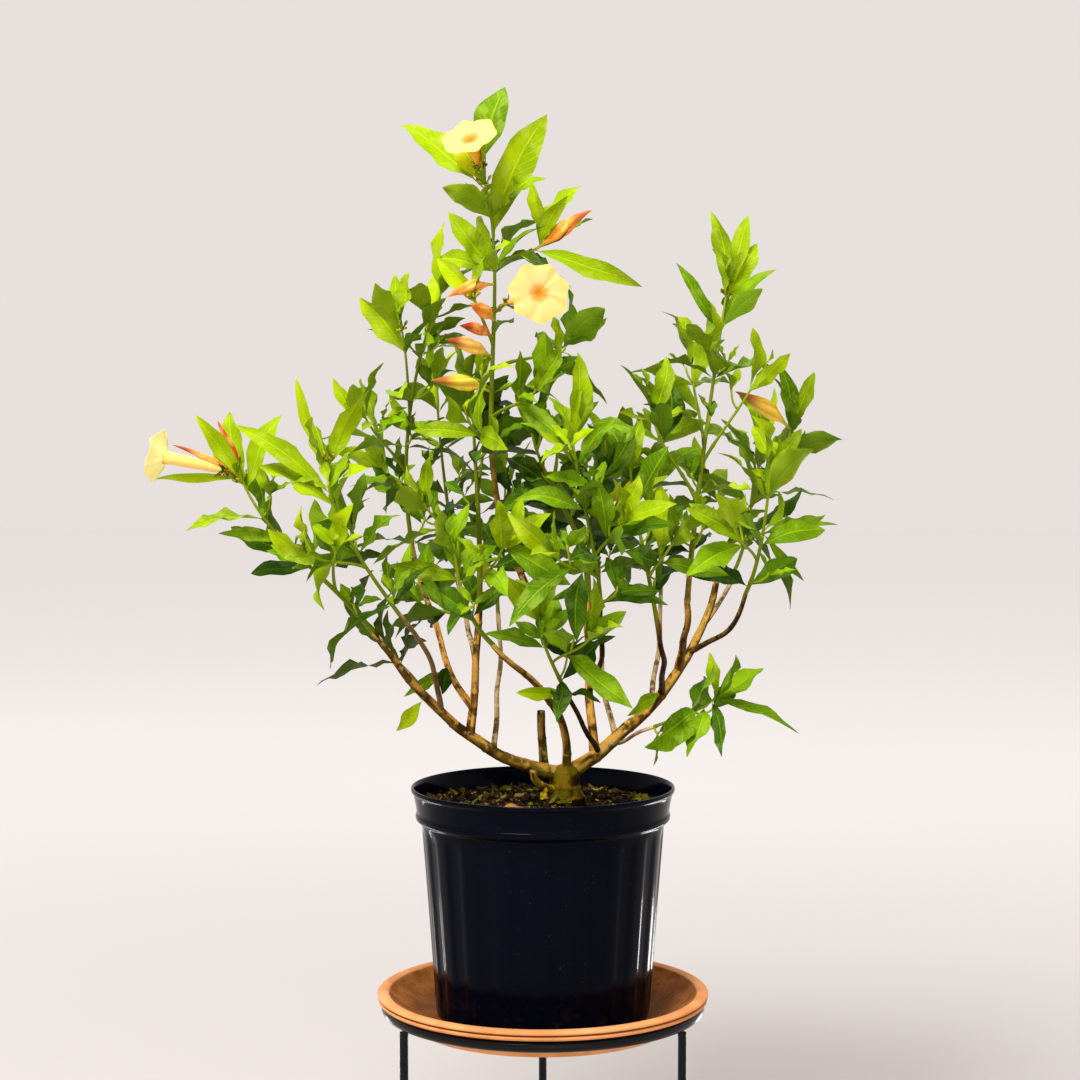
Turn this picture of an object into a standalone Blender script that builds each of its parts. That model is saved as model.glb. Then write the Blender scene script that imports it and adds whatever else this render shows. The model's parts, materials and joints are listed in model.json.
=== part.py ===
"""A bush allamanda in a nursery pot, on a terracotta saucer in a three-legged ring stand.

Metres, +Z up, front towards -Y. The pot, saucer and stand are turned about the pot's axis. The
woody limbs are tapering curves that fork from one another. Each mass of foliage is one solid:
shoots that branch from one stem, with whorls of leaves, blossoms and buds fused on.
Places on the plant are given from the centre of the pot's rim.
"""
import math
import random
from collections import namedtuple

import bmesh
import bpy
import numpy as np
from mathutils import Matrix, Vector
from mathutils.bvhtree import BVHTree

GAP = 0.0003                     # clearance between neighbours that touch

# Stand: a ring of round rod on three legs with end caps
RING_Z = 0.225                   # centre of the ring's rod above the floor
RING_RADIUS = 0.165
RING_ROD = 0.006
LEG_RADIUS = 0.0045
LEG_CAP_RADIUS = 0.0065
LEG_CAP_HEIGHT = 0.016
LEG_ANGLES = (90, 210, 330)      # one behind, two towards the front

# Saucer: its lower band rests on the ring
SAUCER_Z = RING_Z - 0.019
SAUCER_FLOOR = 0.011
SAUCER_PROFILE = (               # radius, height above the saucer's underside
    (0.0, 0.011), (0.126, 0.011), (0.1585, 0.0305), (0.165, 0.0362), (0.1712, 0.037),
    (0.1750, 0.0340), (0.1744, 0.0302), (0.1695, 0.0288), (0.1690, 0.0253), (0.1580, 0.0253),
    (0.1400, 0.0030), (0.1365, 0.0), (0.0, 0.0),
)

# Pot: a thin shell with a rolled lip, a collar and a bead above the tapered body
POT_HEIGHT = 0.242
RIM_Z = SAUCER_Z + SAUCER_FLOOR + GAP + POT_HEIGHT
POT_WALL = 0.002
POT_OUTSIDE = (                  # radius, depth below the rim
    (0.1385, 0.0), (0.1400, 0.0012), (0.1400, 0.0040), (0.1380, 0.0052), (0.1335, 0.0270),
    (0.1347, 0.0300), (0.1335, 0.0348), (0.1280, 0.0380), (0.1130, 0.2395), (0.1118, 0.2420),
)
POT_INSIDE = (
    (0.1104, 0.2400), (0.1257, 0.0385), (0.1315, 0.0330), (0.1315, 0.0270), (0.1370, 0.0),
)
DRAIN_HOLES = 6
DRAIN_RADIUS = 0.006
DRAIN_DEPTH = 0.229

# Soil: fills the pot to just under the collar, level where the trunk stands
SOIL_CROWN = 0.016               # depth of the level middle below the rim
SOIL_EDGE = 0.0215               # depth where it meets the wall
SOIL_FLAT_RADIUS = 0.062

ROUND_STEPS = 32                 # sides of the turned pieces
LIMB_SAMPLES = 25                # points worked out along each centreline
LIMB_STATION = 0.047             # length of limb between cross-sections
SHOOT_STATION = 0.056

# Trunk: short, flared where it meets the soil
TRUNK_FOOT = (0.023, 0.018, -SOIL_CROWN + GAP)
TRUNK_TOP = (0.025, 0.018, 0.020)
TRUNK_RADII = (0.0255, 0.0210, 0.0185, 0.0165, 0.0100)

# Woody limbs. at: share of the parent's length where it forks; leave, arrive: directions at the
# fork and at the tip; thick, thin: radii there
Limb = namedtuple("Limb", "name parent at tip leave arrive thick thin")
LIMBS = (
    Limb("bough_left", "trunk", 0.70, (-0.174, -0.075, 0.170), (-1.05, -0.1, 0.16),
         (-0.55, -0.25, 0.8), 0.0074, 0.0029),
    Limb("bough_right", "trunk", 0.70, (0.188, 0.060, 0.219), (0.85, 0.1, 0.5),
         (0.15, 0.1, 1), 0.0080, 0.0032),
    Limb("bough_centre", "bough_right", 0.13, (0.048, 0.040, 0.204), (-0.1, 0.2, 1),
         (0, 0, 1), 0.0051, 0.0037),
    Limb("bough_leader", "bough_centre", 0.50, (-0.024, 0.000, 0.226), (-0.7, -0.2, 0.7),
         (-0.35, 0, 0.9), 0.0047, 0.0037),
    Limb("bough_left_upright", "bough_left", 0.42, (-0.067, 0.005, 0.197), (0.1, 0.1, 1),
         (0, 0, 1), 0.0046, 0.0034),
    Limb("bough_left_inner", "bough_left_upright", 0.20, (-0.126, 0.050, 0.196), (-0.6, 0.3, 0.6),
         (-0.4, 0.1, 1), 0.0038, 0.0028),
    Limb("bough_left_front", "bough_left", 0.58, (-0.144, -0.132, 0.194), (0, -0.5, 0.7),
         (-0.6, -0.3, 0.7), 0.0030, 0.0022),
    Limb("bough_left_back", "bough_left_upright", 0.52, (-0.100, 0.172, 0.240), (-0.1, 0.8, 0.5),
         (-0.1, 0.3, 0.9), 0.0031, 0.0022),
    Limb("bough_back_left", "bough_left", 0.30, (-0.050, 0.145, 0.172), (0, 0.8, 0.5),
         (-0.1, 0.4, 0.8), 0.0031, 0.0023),
    Limb("bough_low_left", "bough_left", 0.66, (-0.148, -0.012, 0.128), (-0.2, 0.8, 0.4),
         (-0.5, 0.3, 0.6), 0.0022, 0.0019),
    Limb("bough_centre_left", "trunk", 0.66, (-0.052, -0.070, 0.157), (0.1, -0.5, 1.6),
         (-0.6, -0.2, 0.8), 0.0048, 0.0027),
    Limb("bough_right_leader", "bough_right", 0.60, (0.150, -0.026, 0.195), (0, -0.6, 0.8),
         (-0.1, 0, 1), 0.0043, 0.0032),
    Limb("bough_right_inner", "bough_right", 0.48, (0.115, -0.090, 0.184), (0, -0.7, 0.6),
         (-0.2, -0.1, 1), 0.0034, 0.0025),
    Limb("bough_right_front", "bough_right", 0.68, (0.206, -0.082, 0.210), (0.4, -0.8, 0.3),
         (0.2, -0.3, 0.9), 0.0031, 0.0023),
    Limb("bough_right_back", "bough_right", 0.74, (0.214, 0.140, 0.220), (0.1, 0.8, 0.4),
         (0.2, 0.3, 0.9), 0.0031, 0.0022),
    Limb("bough_back", "bough_right", 0.24, (0.064, 0.160, 0.166), (-0.2, 0.9, 0.5),
         (0, 0.4, 0.9), 0.0032, 0.0024),
    Limb("bough_back_right", "bough_right", 0.42, (0.132, 0.158, 0.190), (0.1, 0.9, 0.5),
         (0, 0.2, 1), 0.0031, 0.0023),
    Limb("bough_front", "bough_right", 0.15, (0.019, -0.080, 0.118), (-0.2, -0.8, 0.6),
         (-0.3, -0.3, 0.8), 0.0030, 0.0022),
    Limb("bough_front_high", "bough_centre", 0.40, (0.058, -0.105, 0.196), (0.3, -0.9, 0.4),
         (0, -0.3, 0.9), 0.0030, 0.0022),
    Limb("bough_low_right", "bough_right", 0.20, (0.112, -0.115, 0.078), (0.2, -0.9, 0.05),
         (0.8, -0.2, 0.3), 0.0023, 0.0018),
    Limb("cut_stub", "trunk", 0.45, (-0.002, 0.050, 0.073), (-1, 1, 0.2),
         (0, 0, 1.5), 0.0048, 0.0043),
    Limb("low_stub", "trunk", 0.25, (-0.010, -0.012, 0.018), (-1, -0.6, 0),
         (0, 0, 1.2), 0.0046, 0.0040),
)

# Leafy shoots of each mass. on: the shoot it branches from, None for the stem that carries on from
# the bough; at: share of that shoot's length; arrive: direction at the tip; bare: share of its
# length with no leaves; turn: degrees that its whorls are turned; apart: how many times the usual
# distance its whorls are apart
Shoot = namedtuple("Shoot", "on at tip arrive bare turn apart", defaults=(1.0,))
MASSES = {
    "leaves_far_left": ("bough_left", (
        Shoot(None, 0, (-0.300, -0.140, 0.333), (-0.3, -0.1, 0.9), 0.02, 20, 1.5),
        Shoot(0, 0.28, (-0.216, -0.035, 0.262), (0, 0.3, 0.9), 0.4, 70),
    )),
    "leaves_left_front": ("bough_left_front", (
        Shoot(None, 0, (-0.211, -0.172, 0.348), (0, 0, 1), 0.05, 50, 1.25),
        Shoot(0, 0.35, (-0.226, -0.212, 0.262), (-0.4, -0.4, 0.7), 0.4, 10),
    )),
    "leaves_left_top": ("bough_left_inner", (
        Shoot(None, 0, (-0.104, 0.030, 0.528), (0.4, -0.1, 0.9), 0.06, 0),
        Shoot(0, 0.40, (-0.190, 0.010, 0.396), (-0.3, -0.3, 0.9), 0.45, 30),
        Shoot(0, 0.58, (-0.150, 0.005, 0.490), (-0.2, -0.2, 0.9), 0.55, 60),
    )),
    "leaves_mid_left": ("bough_left_upright", (
        Shoot(None, 0, (-0.074, 0.018, 0.420), (0, 0, 1), 0.05, 15),
        Shoot(0, 0.22, (-0.124, -0.022, 0.300), (-0.3, -0.3, 0.8), 0.35, 50),
        Shoot(0, 0.48, (-0.060, 0.088, 0.382), (0.1, 0.4, 0.9), 0.4, 80),
    )),
    "leaves_left_back": ("bough_left_back", (
        Shoot(None, 0, (-0.118, 0.158, 0.430), (0, -0.1, 1), 0.05, 25),
        Shoot(0, 0.25, (-0.180, 0.196, 0.332), (-0.4, 0.2, 0.8), 0.35, 0),
    )),
    "leaves_back_left": ("bough_back_left", (
        Shoot(None, 0, (-0.042, 0.176, 0.318), (0, 0, 1), 0.05, 60),
        Shoot(0, 0.30, (-0.108, 0.212, 0.232), (-0.5, 0.3, 0.6), 0.4, 10),
    )),
    "leaves_low_left": ("bough_low_left", (
        Shoot(None, 0, (-0.176, 0.004, 0.158), (-0.4, 0.1, 0.8), 0.2, 40),
    )),
    "leaves_centre_left": ("bough_centre_left", (
        Shoot(None, 0, (-0.090, -0.105, 0.262), (-0.1, 0, 1), 0.15, 35),
        Shoot(0, 0.30, (-0.132, -0.072, 0.205), (-0.5, 0, 0.7), 0.4, 0),
        Shoot(0, 0.45, (-0.038, -0.150, 0.266), (0.2, -0.4, 0.8), 0.35, 70),
    )),
    "leaves_leader": ("bough_leader", (
        Shoot(None, 0, (-0.062, -0.020, 0.638), (-0.25, -0.1, 0.9), 0.03, 10, 1.25),
        Shoot(0, 0.78, (0.004, -0.010, 0.575), (0.2, 0, 0.9), 0.4, 40),
        Shoot(0, 0.52, (0.030, 0.030, 0.472), (0.5, 0.1, 0.8), 0.35, 20),
        Shoot(0, 0.32, (-0.078, -0.068, 0.392), (-0.2, -0.3, 0.9), 0.4, 65),
        Shoot(0, 0.40, (-0.004, -0.060, 0.424), (0.2, -0.2, 0.9), 0.35, 30),
        Shoot(0, 0.58, (-0.072, -0.042, 0.516), (-0.2, -0.2, 0.9), 0.5, 15),
    )),
    "leaves_centre": ("bough_centre", (
        Shoot(None, 0, (-0.014, -0.036, 0.388), (-0.1, -0.1, 1), 0.03, 55),
        Shoot(0, 0.14, (0.064, 0.056, 0.330), (0.1, 0.1, 1), 0.25, 20),
    )),
    "leaves_front_high": ("bough_front_high", (
        Shoot(None, 0, (0.028, -0.122, 0.378), (-0.1, 0, 1), 0.03, 5),
        Shoot(0, 0.20, (0.010, -0.185, 0.258), (-0.3, -0.4, 0.7), 0.35, 40),
        Shoot(0, 0.32, (0.082, -0.160, 0.292), (0.3, -0.3, 0.8), 0.4, 75),
    )),
    "leaves_right_inner": ("bough_right_inner", (
        Shoot(None, 0, (0.088, -0.080, 0.338), (-0.1, 0, 1), 0.03, 30),
        Shoot(0, 0.30, (0.130, -0.138, 0.270), (0.2, -0.3, 0.8), 0.4, 0),
    )),
    "leaves_right_leader": ("bough_right_leader", (
        Shoot(None, 0, (0.191, -0.020, 0.524), (0.15, 0, 1), 0.04, 25, 1.2),
        Shoot(0, 0.33, (0.113, -0.060, 0.400), (0.1, -0.1, 1), 0.45, 60),
        Shoot(0, 0.45, (0.216, -0.058, 0.424), (0.4, -0.2, 0.8), 0.4, 10),
        Shoot(0, 0.50, (0.158, 0.045, 0.452), (0, 0.2, 0.9), 0.4, 50),
    )),
    "leaves_right_front": ("bough_right_front", (
        Shoot(None, 0, (0.228, -0.120, 0.345), (0.1, 0, 1), 0.03, 45),
        Shoot(0, 0.30, (0.186, -0.165, 0.284), (-0.2, -0.4, 0.8), 0.4, 15),
    )),
    "leaves_right_tall": ("bough_right", (
        Shoot(None, 0, (0.266, 0.048, 0.380), (0.2, -0.1, 1), 0.03, 35),
        Shoot(0, 0.20, (0.244, -0.004, 0.272), (0.7, -0.2, 0.4), 0.35, 0),
    )),
    "leaves_right_back": ("bough_right_back", (
        Shoot(None, 0, (0.240, 0.160, 0.372), (0.1, 0, 1), 0.03, 0),
        Shoot(0, 0.30, (0.180, 0.208, 0.318), (-0.4, 0.3, 0.8), 0.4, 50),
    )),
    "leaves_back": ("bough_back", (
        Shoot(None, 0, (0.062, 0.168, 0.345), (0, -0.1, 1), 0.05, 70),
        Shoot(0, 0.25, (0.006, 0.222, 0.255), (-0.5, 0.3, 0.7), 0.4, 20),
    )),
    "leaves_back_right": ("bough_back_right", (
        Shoot(None, 0, (0.128, 0.136, 0.395), (0, -0.1, 1), 0.03, 10),
        Shoot(0, 0.30, (0.120, 0.240, 0.300), (-0.1, 0.4, 0.8), 0.4, 55),
    )),
    "leaves_front_low": ("bough_front", (
        Shoot(None, 0, (-0.006, -0.112, 0.192), (-0.1, -0.1, 1), 0.1, 40),
        Shoot(0, 0.35, (0.048, -0.135, 0.172), (0.4, -0.3, 0.8), 0.4, 5),
    )),
    "leaves_low_right": ("bough_low_right", (
        Shoot(None, 0, (0.176, -0.134, 0.116), (0.4, -0.1, 0.8), 0.04, 30),
    )),
}
STEM_COLLAR = 0.004              # straight start of a stem, square on its bough's end
STEM_SHARE = 0.80                # radius of a side shoot against the shoot it leaves
SHOOT_TIP = 0.0014               # radius of every shoot's tip

# Whorls, counted down from a shoot's tip: distance below the one above, leaf length, angle from
# the shoot and number of leaves; the last line repeats
Whorl = namedtuple("Whorl", "step length pitch count")
WHORLS = (
    Whorl(0.006, 0.068, 26, 3), Whorl(0.026, 0.080, 48, 3), Whorl(0.044, 0.082, 60, 3),
    Whorl(0.050, 0.078, 68, 2), Whorl(0.050, 0.072, 74, 2),
)
SPUR_EVERY = 3                   # every third whorl of a long shoot carries a short side spur
SPUR_LENGTH = (0.030, 0.050)
SPUR_MIN_SHOOT = 0.17            # shoots shorter than this have no spurs

# Leaf: share of its length, half width as a share of its length
LEAF_STATIONS = ((0.0, 0.0), (0.38, 0.185), (0.72, 0.140), (1.0, 0.0))
LEAF_KEEL = 0.0030               # depth of the fold under the midrib
LEAF_SINK = 0.0060               # how far below its whorl a leaf's root starts, inside the shoot
LEAF_CLEAR = 0.0005              # kept between a leaf and its neighbours
BLADE_START = 0.22               # leaves of one mass may meet below this share of their length
LEAF_OUTLOOK = 0.7               # how far a blade turns from its shoot's tip to the crown's outside
LEAF_SAG = 0.055                 # fall of the tip, as a share of its length, added by each whorl

# Leaves that the crown's outline runs out to: mass, shoot, share of its length, tip, width as a
# share of a usual leaf's
Reach = namedtuple("Reach", "mass shoot at tip width")
REACHES = (
    Reach("leaves_leader", 0, 0.97, (-0.040, -0.030, 0.730), 0.56),
    Reach("leaves_leader", 0, 0.96, (-0.147, -0.050, 0.696), 0.58),
    Reach("leaves_leader", 0, 0.85, (0.005, 0.000, 0.713), 0.64),
    Reach("leaves_leader", 0, 0.76, (-0.092, -0.050, 0.599), 0.85),
    Reach("leaves_leader", 0, 0.77, (-0.004, -0.035, 0.588), 0.60),
    Reach("leaves_leader", 1, 0.97, (-0.012, -0.010, 0.638), 0.66),
    Reach("leaves_leader", 1, 0.97, (0.040, 0.010, 0.640), 0.66),
    Reach("leaves_leader", 1, 0.70, (0.100, -0.030, 0.539), 0.50),
    Reach("leaves_left_top", 0, 0.97, (-0.104, 0.020, 0.597), 0.66),
    Reach("leaves_left_front", 0, 0.97, (-0.241, -0.180, 0.433), 0.45),
    Reach("leaves_left_front", 0, 0.94, (-0.170, -0.150, 0.420), 0.72),
    Reach("leaves_left_front", 0, 0.80, (-0.296, -0.190, 0.388), 0.62),
    Reach("leaves_far_left", 0, 0.94, (-0.340, -0.170, 0.394), 0.62),
    Reach("leaves_far_left", 0, 0.92, (-0.260, -0.120, 0.398), 0.62),
    Reach("leaves_far_left", 0, 0.62, (-0.314, -0.150, 0.280), 0.60),
    Reach("leaves_centre_left", 2, 0.95, (0.024, -0.172, 0.232), 1.00),
    Reach("leaves_front_high", 0, 0.97, (0.034, -0.150, 0.453), 0.78),
    Reach("leaves_front_high", 1, 0.35, (0.033, -0.168, 0.176), 1.05),
    Reach("leaves_right_leader", 0, 0.97, (0.174, -0.030, 0.605), 0.56),
    Reach("leaves_right_leader", 0, 0.97, (0.215, 0.000, 0.603), 0.56),
    Reach("leaves_right_leader", 0, 0.86, (0.143, -0.050, 0.548), 0.52),
    Reach("leaves_right_leader", 0, 0.87, (0.238, -0.030, 0.548), 0.52),
    Reach("leaves_right_tall", 0, 0.96, (0.253, 0.020, 0.443), 0.66),
    Reach("leaves_right_tall", 0, 0.96, (0.292, 0.060, 0.440), 0.66),
    Reach("leaves_right_tall", 1, 0.92, (0.314, 0.020, 0.277), 0.60),
    Reach("leaves_right_tall", 1, 0.80, (0.279, 0.010, 0.219), 0.45),
    Reach("leaves_low_right", 0, 0.90, (0.253, -0.150, 0.083), 0.50),
    Reach("leaves_low_right", 0, 0.85, (0.175, -0.170, 0.061), 0.80),
    Reach("leaves_low_right", 0, 0.55, (0.106, -0.190, 0.080), 0.80),
)
REACH_DROOP = 0.05
REACH_FACE = (0.0, -0.9, 0.45)   # side that their upper surface looks to

# Blossoms: mass, shoot, share of its length, centre of the mouth, radius of the mouth
Blossom = namedtuple("Blossom", "mass shoot at mouth radius")
BLOSSOMS = (
    Blossom("leaves_leader", 0, 0.66, (-0.004, -0.098, 0.513), 0.031),
    Blossom("leaves_leader", 0, 0.99, (-0.0745, -0.056, 0.672), 0.028),
    Blossom("leaves_far_left", 0, 0.96, (-0.374, -0.158, 0.350), 0.025),
)
# Buds and spent blossoms: mass, shoot, share of its length, tip, radius
Bud = namedtuple("Bud", "mass shoot at tip radius")
BUDS = (
    Bud("leaves_leader", 1, 0.72, (0.050, -0.020, 0.602), 0.0062),
    Bud("leaves_leader", 0, 0.73, (-0.098, -0.060, 0.511), 0.0052),
    Bud("leaves_leader", 0, 0.64, (-0.074, -0.060, 0.503), 0.0060),
    Bud("leaves_leader", 0, 0.60, (-0.085, -0.055, 0.482), 0.0050),
    Bud("leaves_leader", 0, 0.55, (-0.100, -0.050, 0.468), 0.0062),
    Bud("leaves_leader", 0, 0.465, (-0.115, -0.050, 0.426), 0.0064),
    Bud("leaves_right_tall", 0, 0.97, (0.202, 0.005, 0.415), 0.0062),
    Bud("leaves_far_left", 0, 0.98, (-0.320, -0.150, 0.385), 0.0045),
)
BLOSSOM_LOBES = 5

# Colours and finishes: colour, roughness, metallic
FINISHES = {
    "pot_plastic": ((0.012, 0.013, 0.018), 0.38, 0.0),
    "potting_soil": ((0.055, 0.033, 0.018), 0.95, 0.0),
    "terracotta": ((0.56, 0.22, 0.085), 0.80, 0.0),
    "stand_steel": ((0.010, 0.010, 0.012), 0.30, 0.0),
    "bark": ((0.30, 0.145, 0.060), 0.85, 0.0),
    "foliage": ((0.13, 0.30, 0.030), 0.50, 0.0),
}


def clear_scene():
    """Remove every object, so that the file can be run again."""
    for old in list(bpy.data.objects):
        bpy.data.objects.remove(old, do_unlink=True)


def make_materials():
    """One Principled material for each finish."""
    materials = {}
    for name, (colour, roughness, metallic) in FINISHES.items():
        material = bpy.data.materials.new(name)
        material.use_nodes = True
        shader = material.node_tree.nodes["Principled BSDF"]
        shader.inputs["Base Color"].default_value = (*colour, 1.0)
        shader.inputs["Roughness"].default_value = roughness
        shader.inputs["Metallic"].default_value = metallic
        materials[name] = material
    return materials


def put(name, mesh, finish, collection):
    """An object for a mesh, with its finish, in a collection."""
    piece = bpy.data.objects.new(name, mesh)
    mesh.materials.clear()
    mesh.materials.append(finish)
    collection.objects.link(piece)
    return piece


def smooth(mesh):
    """Shade a round piece smooth, and keep its edges sharp."""
    mesh.shade_smooth()
    mesh.set_sharp_from_angle(angle=math.radians(40))


def turned(name, profile, height, finish, collection, steps=ROUND_STEPS):
    """A profile of (radius, height) points, from axis to axis, turned about Z."""
    mesh = bpy.data.meshes.new(name)
    points = [(radius, 0.0, z) for radius, z in profile]
    mesh.from_pydata(points, [(i, i + 1) for i in range(len(points) - 1)], [])
    piece = put(name, mesh, finish, collection)
    piece.location.z = height
    screw = piece.modifiers.new("turn", "SCREW")
    screw.axis = "Z"
    screw.steps = steps
    screw.render_steps = steps
    screw.use_merge_vertices = True
    screw.merge_threshold = 0.00005
    screw.use_smooth_shade = True
    return piece


def cut(piece, cutter, solver="EXACT"):
    """Take a cutter out of a piece, with a live Boolean."""
    cutter.hide_render = True
    cutter.display_type = "WIRE"
    boolean = piece.modifiers.new("cut " + cutter.name, "BOOLEAN")
    boolean.operation = "DIFFERENCE"
    boolean.object = cutter
    boolean.solver = solver


def applied(piece):
    """Replace an object's mesh with its evaluated mesh, and drop its modifiers."""
    graph = bpy.context.evaluated_depsgraph_get()
    mesh = bpy.data.meshes.new_from_object(piece.evaluated_get(graph), depsgraph=graph)
    piece.modifiers.clear()
    piece.data = mesh
    return piece


def torus(name, radius, rod, finish, collection):
    """A ring of round rod, centred at the ring's height."""
    bpy.ops.mesh.primitive_torus_add(major_radius=radius, minor_radius=rod, major_segments=ROUND_STEPS,
                                     minor_segments=8, location=(0, 0, RING_Z))
    ring = bpy.context.object
    mesh = ring.data
    bpy.data.objects.remove(ring, do_unlink=True)
    piece = put(name, mesh, finish, collection)
    piece.location.z = RING_Z
    smooth(mesh)
    return piece


def make_stand(materials, parts, cutters):
    """The ring, and three legs whose tops are cut to sit under its rod."""
    steel = materials["stand_steel"]
    torus("stand_ring", RING_RADIUS, RING_ROD, steel, parts)
    saddle = torus("ring_saddle", RING_RADIUS, RING_ROD + GAP, steel, cutters)
    profile = ((0.0, RING_Z), (LEG_RADIUS, RING_Z), (LEG_RADIUS, LEG_CAP_HEIGHT),
               (LEG_CAP_RADIUS, LEG_CAP_HEIGHT - 0.001), (LEG_CAP_RADIUS, 0.001),
               (LEG_CAP_RADIUS - 0.001, 0.0), (0.0, 0.0))
    for number, angle in enumerate(LEG_ANGLES, start=1):
        leg = turned(f"stand_leg_{number}", profile, 0.0, steel, parts, steps=10)
        leg.location.x = RING_RADIUS * math.cos(math.radians(angle))
        leg.location.y = RING_RADIUS * math.sin(math.radians(angle))
        cut(leg, saddle)


def make_pot(materials, parts, cutters):
    """The saucer, the pot with its drain holes, and the soil in it."""
    turned("saucer", SAUCER_PROFILE, SAUCER_Z, materials["terracotta"], parts)
    inside = [(0.0, -POT_HEIGHT + POT_WALL)] + [(radius, -depth) for radius, depth in POT_INSIDE]
    outside = [(radius, -depth) for radius, depth in POT_OUTSIDE] + [(0.0, -POT_HEIGHT)]
    pot = turned("pot", inside + outside, RIM_Z, materials["pot_plastic"], parts)
    bores = bmesh.new()
    for number in range(DRAIN_HOLES):
        turn = Matrix.Rotation(math.tau * (number + 0.5) / DRAIN_HOLES, 4, "Z")
        out = Matrix.Translation((0.112, 0, RIM_Z - DRAIN_DEPTH)) @ Matrix.Rotation(math.pi / 2, 4, "Y")
        bmesh.ops.create_cone(bores, cap_ends=True, segments=6, radius1=DRAIN_RADIUS,
                              radius2=DRAIN_RADIUS, depth=0.012, matrix=turn @ out)
    mesh = bpy.data.meshes.new("drain_bores")
    bores.to_mesh(mesh)
    bores.free()
    cut(pot, put("drain_bores", mesh, materials["pot_plastic"], cutters))
    wall = [(radius - GAP, -depth) for radius, depth in reversed(POT_INSIDE) if depth > SOIL_EDGE]
    top = [(0.0, -SOIL_CROWN), (SOIL_FLAT_RADIUS, -SOIL_CROWN), (0.105, -SOIL_CROWN - 0.003),
           (0.1318, -SOIL_EDGE)]
    floor = -POT_HEIGHT + POT_WALL + GAP
    wall[-1] = (wall[-1][0], floor)
    turned("soil", top + wall + [(0.0, floor)], RIM_Z, materials["potting_soil"], parts)


def unit(vector):
    """A vector of length one."""
    return np.asarray(vector, float) / np.linalg.norm(vector)


def sweep(start, tip, leave, arrive, samples=LIMB_SAMPLES):
    """Points on a cubic from start to tip with the given directions at its ends.

    Each direction's own length says how strongly it pulls, against the straight distance.
    """
    start, tip = np.asarray(start, float), np.asarray(tip, float)
    reach = np.linalg.norm(tip - start)
    pull_start, pull_tip = np.asarray(leave, float) * reach, np.asarray(arrive, float) * reach
    t = np.linspace(0.0, 1.0, samples)[:, None]
    return ((2 * t**3 - 3 * t**2 + 1) * start + (t**3 - 2 * t**2 + t) * pull_start
            + (3 * t**2 - 2 * t**3) * tip + (t**3 - t**2) * pull_tip)


def at_share(line, share):
    """The point and the direction at a share of a line's length."""
    lengths = np.r_[0.0, np.cumsum(np.linalg.norm(np.diff(line, axis=0), axis=1))]
    wanted = np.clip(share, 0.0, 1.0) * lengths[-1]
    point = np.array([np.interp(wanted, lengths, line[:, axis]) for axis in range(3)])
    ahead = np.array([np.interp(wanted + 0.002, lengths, line[:, axis]) for axis in range(3)])
    behind = np.array([np.interp(wanted - 0.002, lengths, line[:, axis]) for axis in range(3)])
    return point, unit(ahead - behind)


def line_length(line):
    """The length of a line of points."""
    return float(np.linalg.norm(np.diff(line, axis=0), axis=1).sum())


def stations(line, spacing):
    """Evenly spaced points along a line, with their shares of its length."""
    shares = np.linspace(0.0, 1.0, max(3, round(line_length(line) / spacing) + 1))
    return shares, [at_share(line, share)[0] for share in shares]


def limb_mesh(name, points, radii):
    """A six-sided tapering tube with closed ends, made from a bevelled curve."""
    curve = bpy.data.curves.new(name, "CURVE")
    curve.dimensions = "3D"
    curve.bevel_depth = 1.0
    curve.bevel_resolution = 1
    curve.use_fill_caps = True
    spline = curve.splines.new("POLY")
    spline.points.add(len(points) - 1)
    for control, point, radius in zip(spline.points, points, radii):
        control.co = (*point, 1.0)
        control.radius = radius
    guide = bpy.data.objects.new(name, curve)
    bpy.context.scene.collection.objects.link(guide)
    graph = bpy.context.evaluated_depsgraph_get()
    mesh = bpy.data.meshes.new_from_object(guide.evaluated_get(graph), depsgraph=graph)
    bpy.data.objects.remove(guide, do_unlink=True)
    bpy.data.curves.remove(curve)
    tube = bmesh.new()
    tube.from_mesh(mesh)
    bmesh.ops.remove_doubles(tube, verts=tube.verts, dist=0.00001)
    bmesh.ops.recalc_face_normals(tube, faces=tube.faces)
    tube.to_mesh(mesh)
    tube.free()
    mesh.name = name
    return mesh


def tree_of(mesh):
    """A search tree for a mesh's faces."""
    return BVHTree.FromPolygons([v.co for v in mesh.vertices], [p.vertices for p in mesh.polygons])


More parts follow.
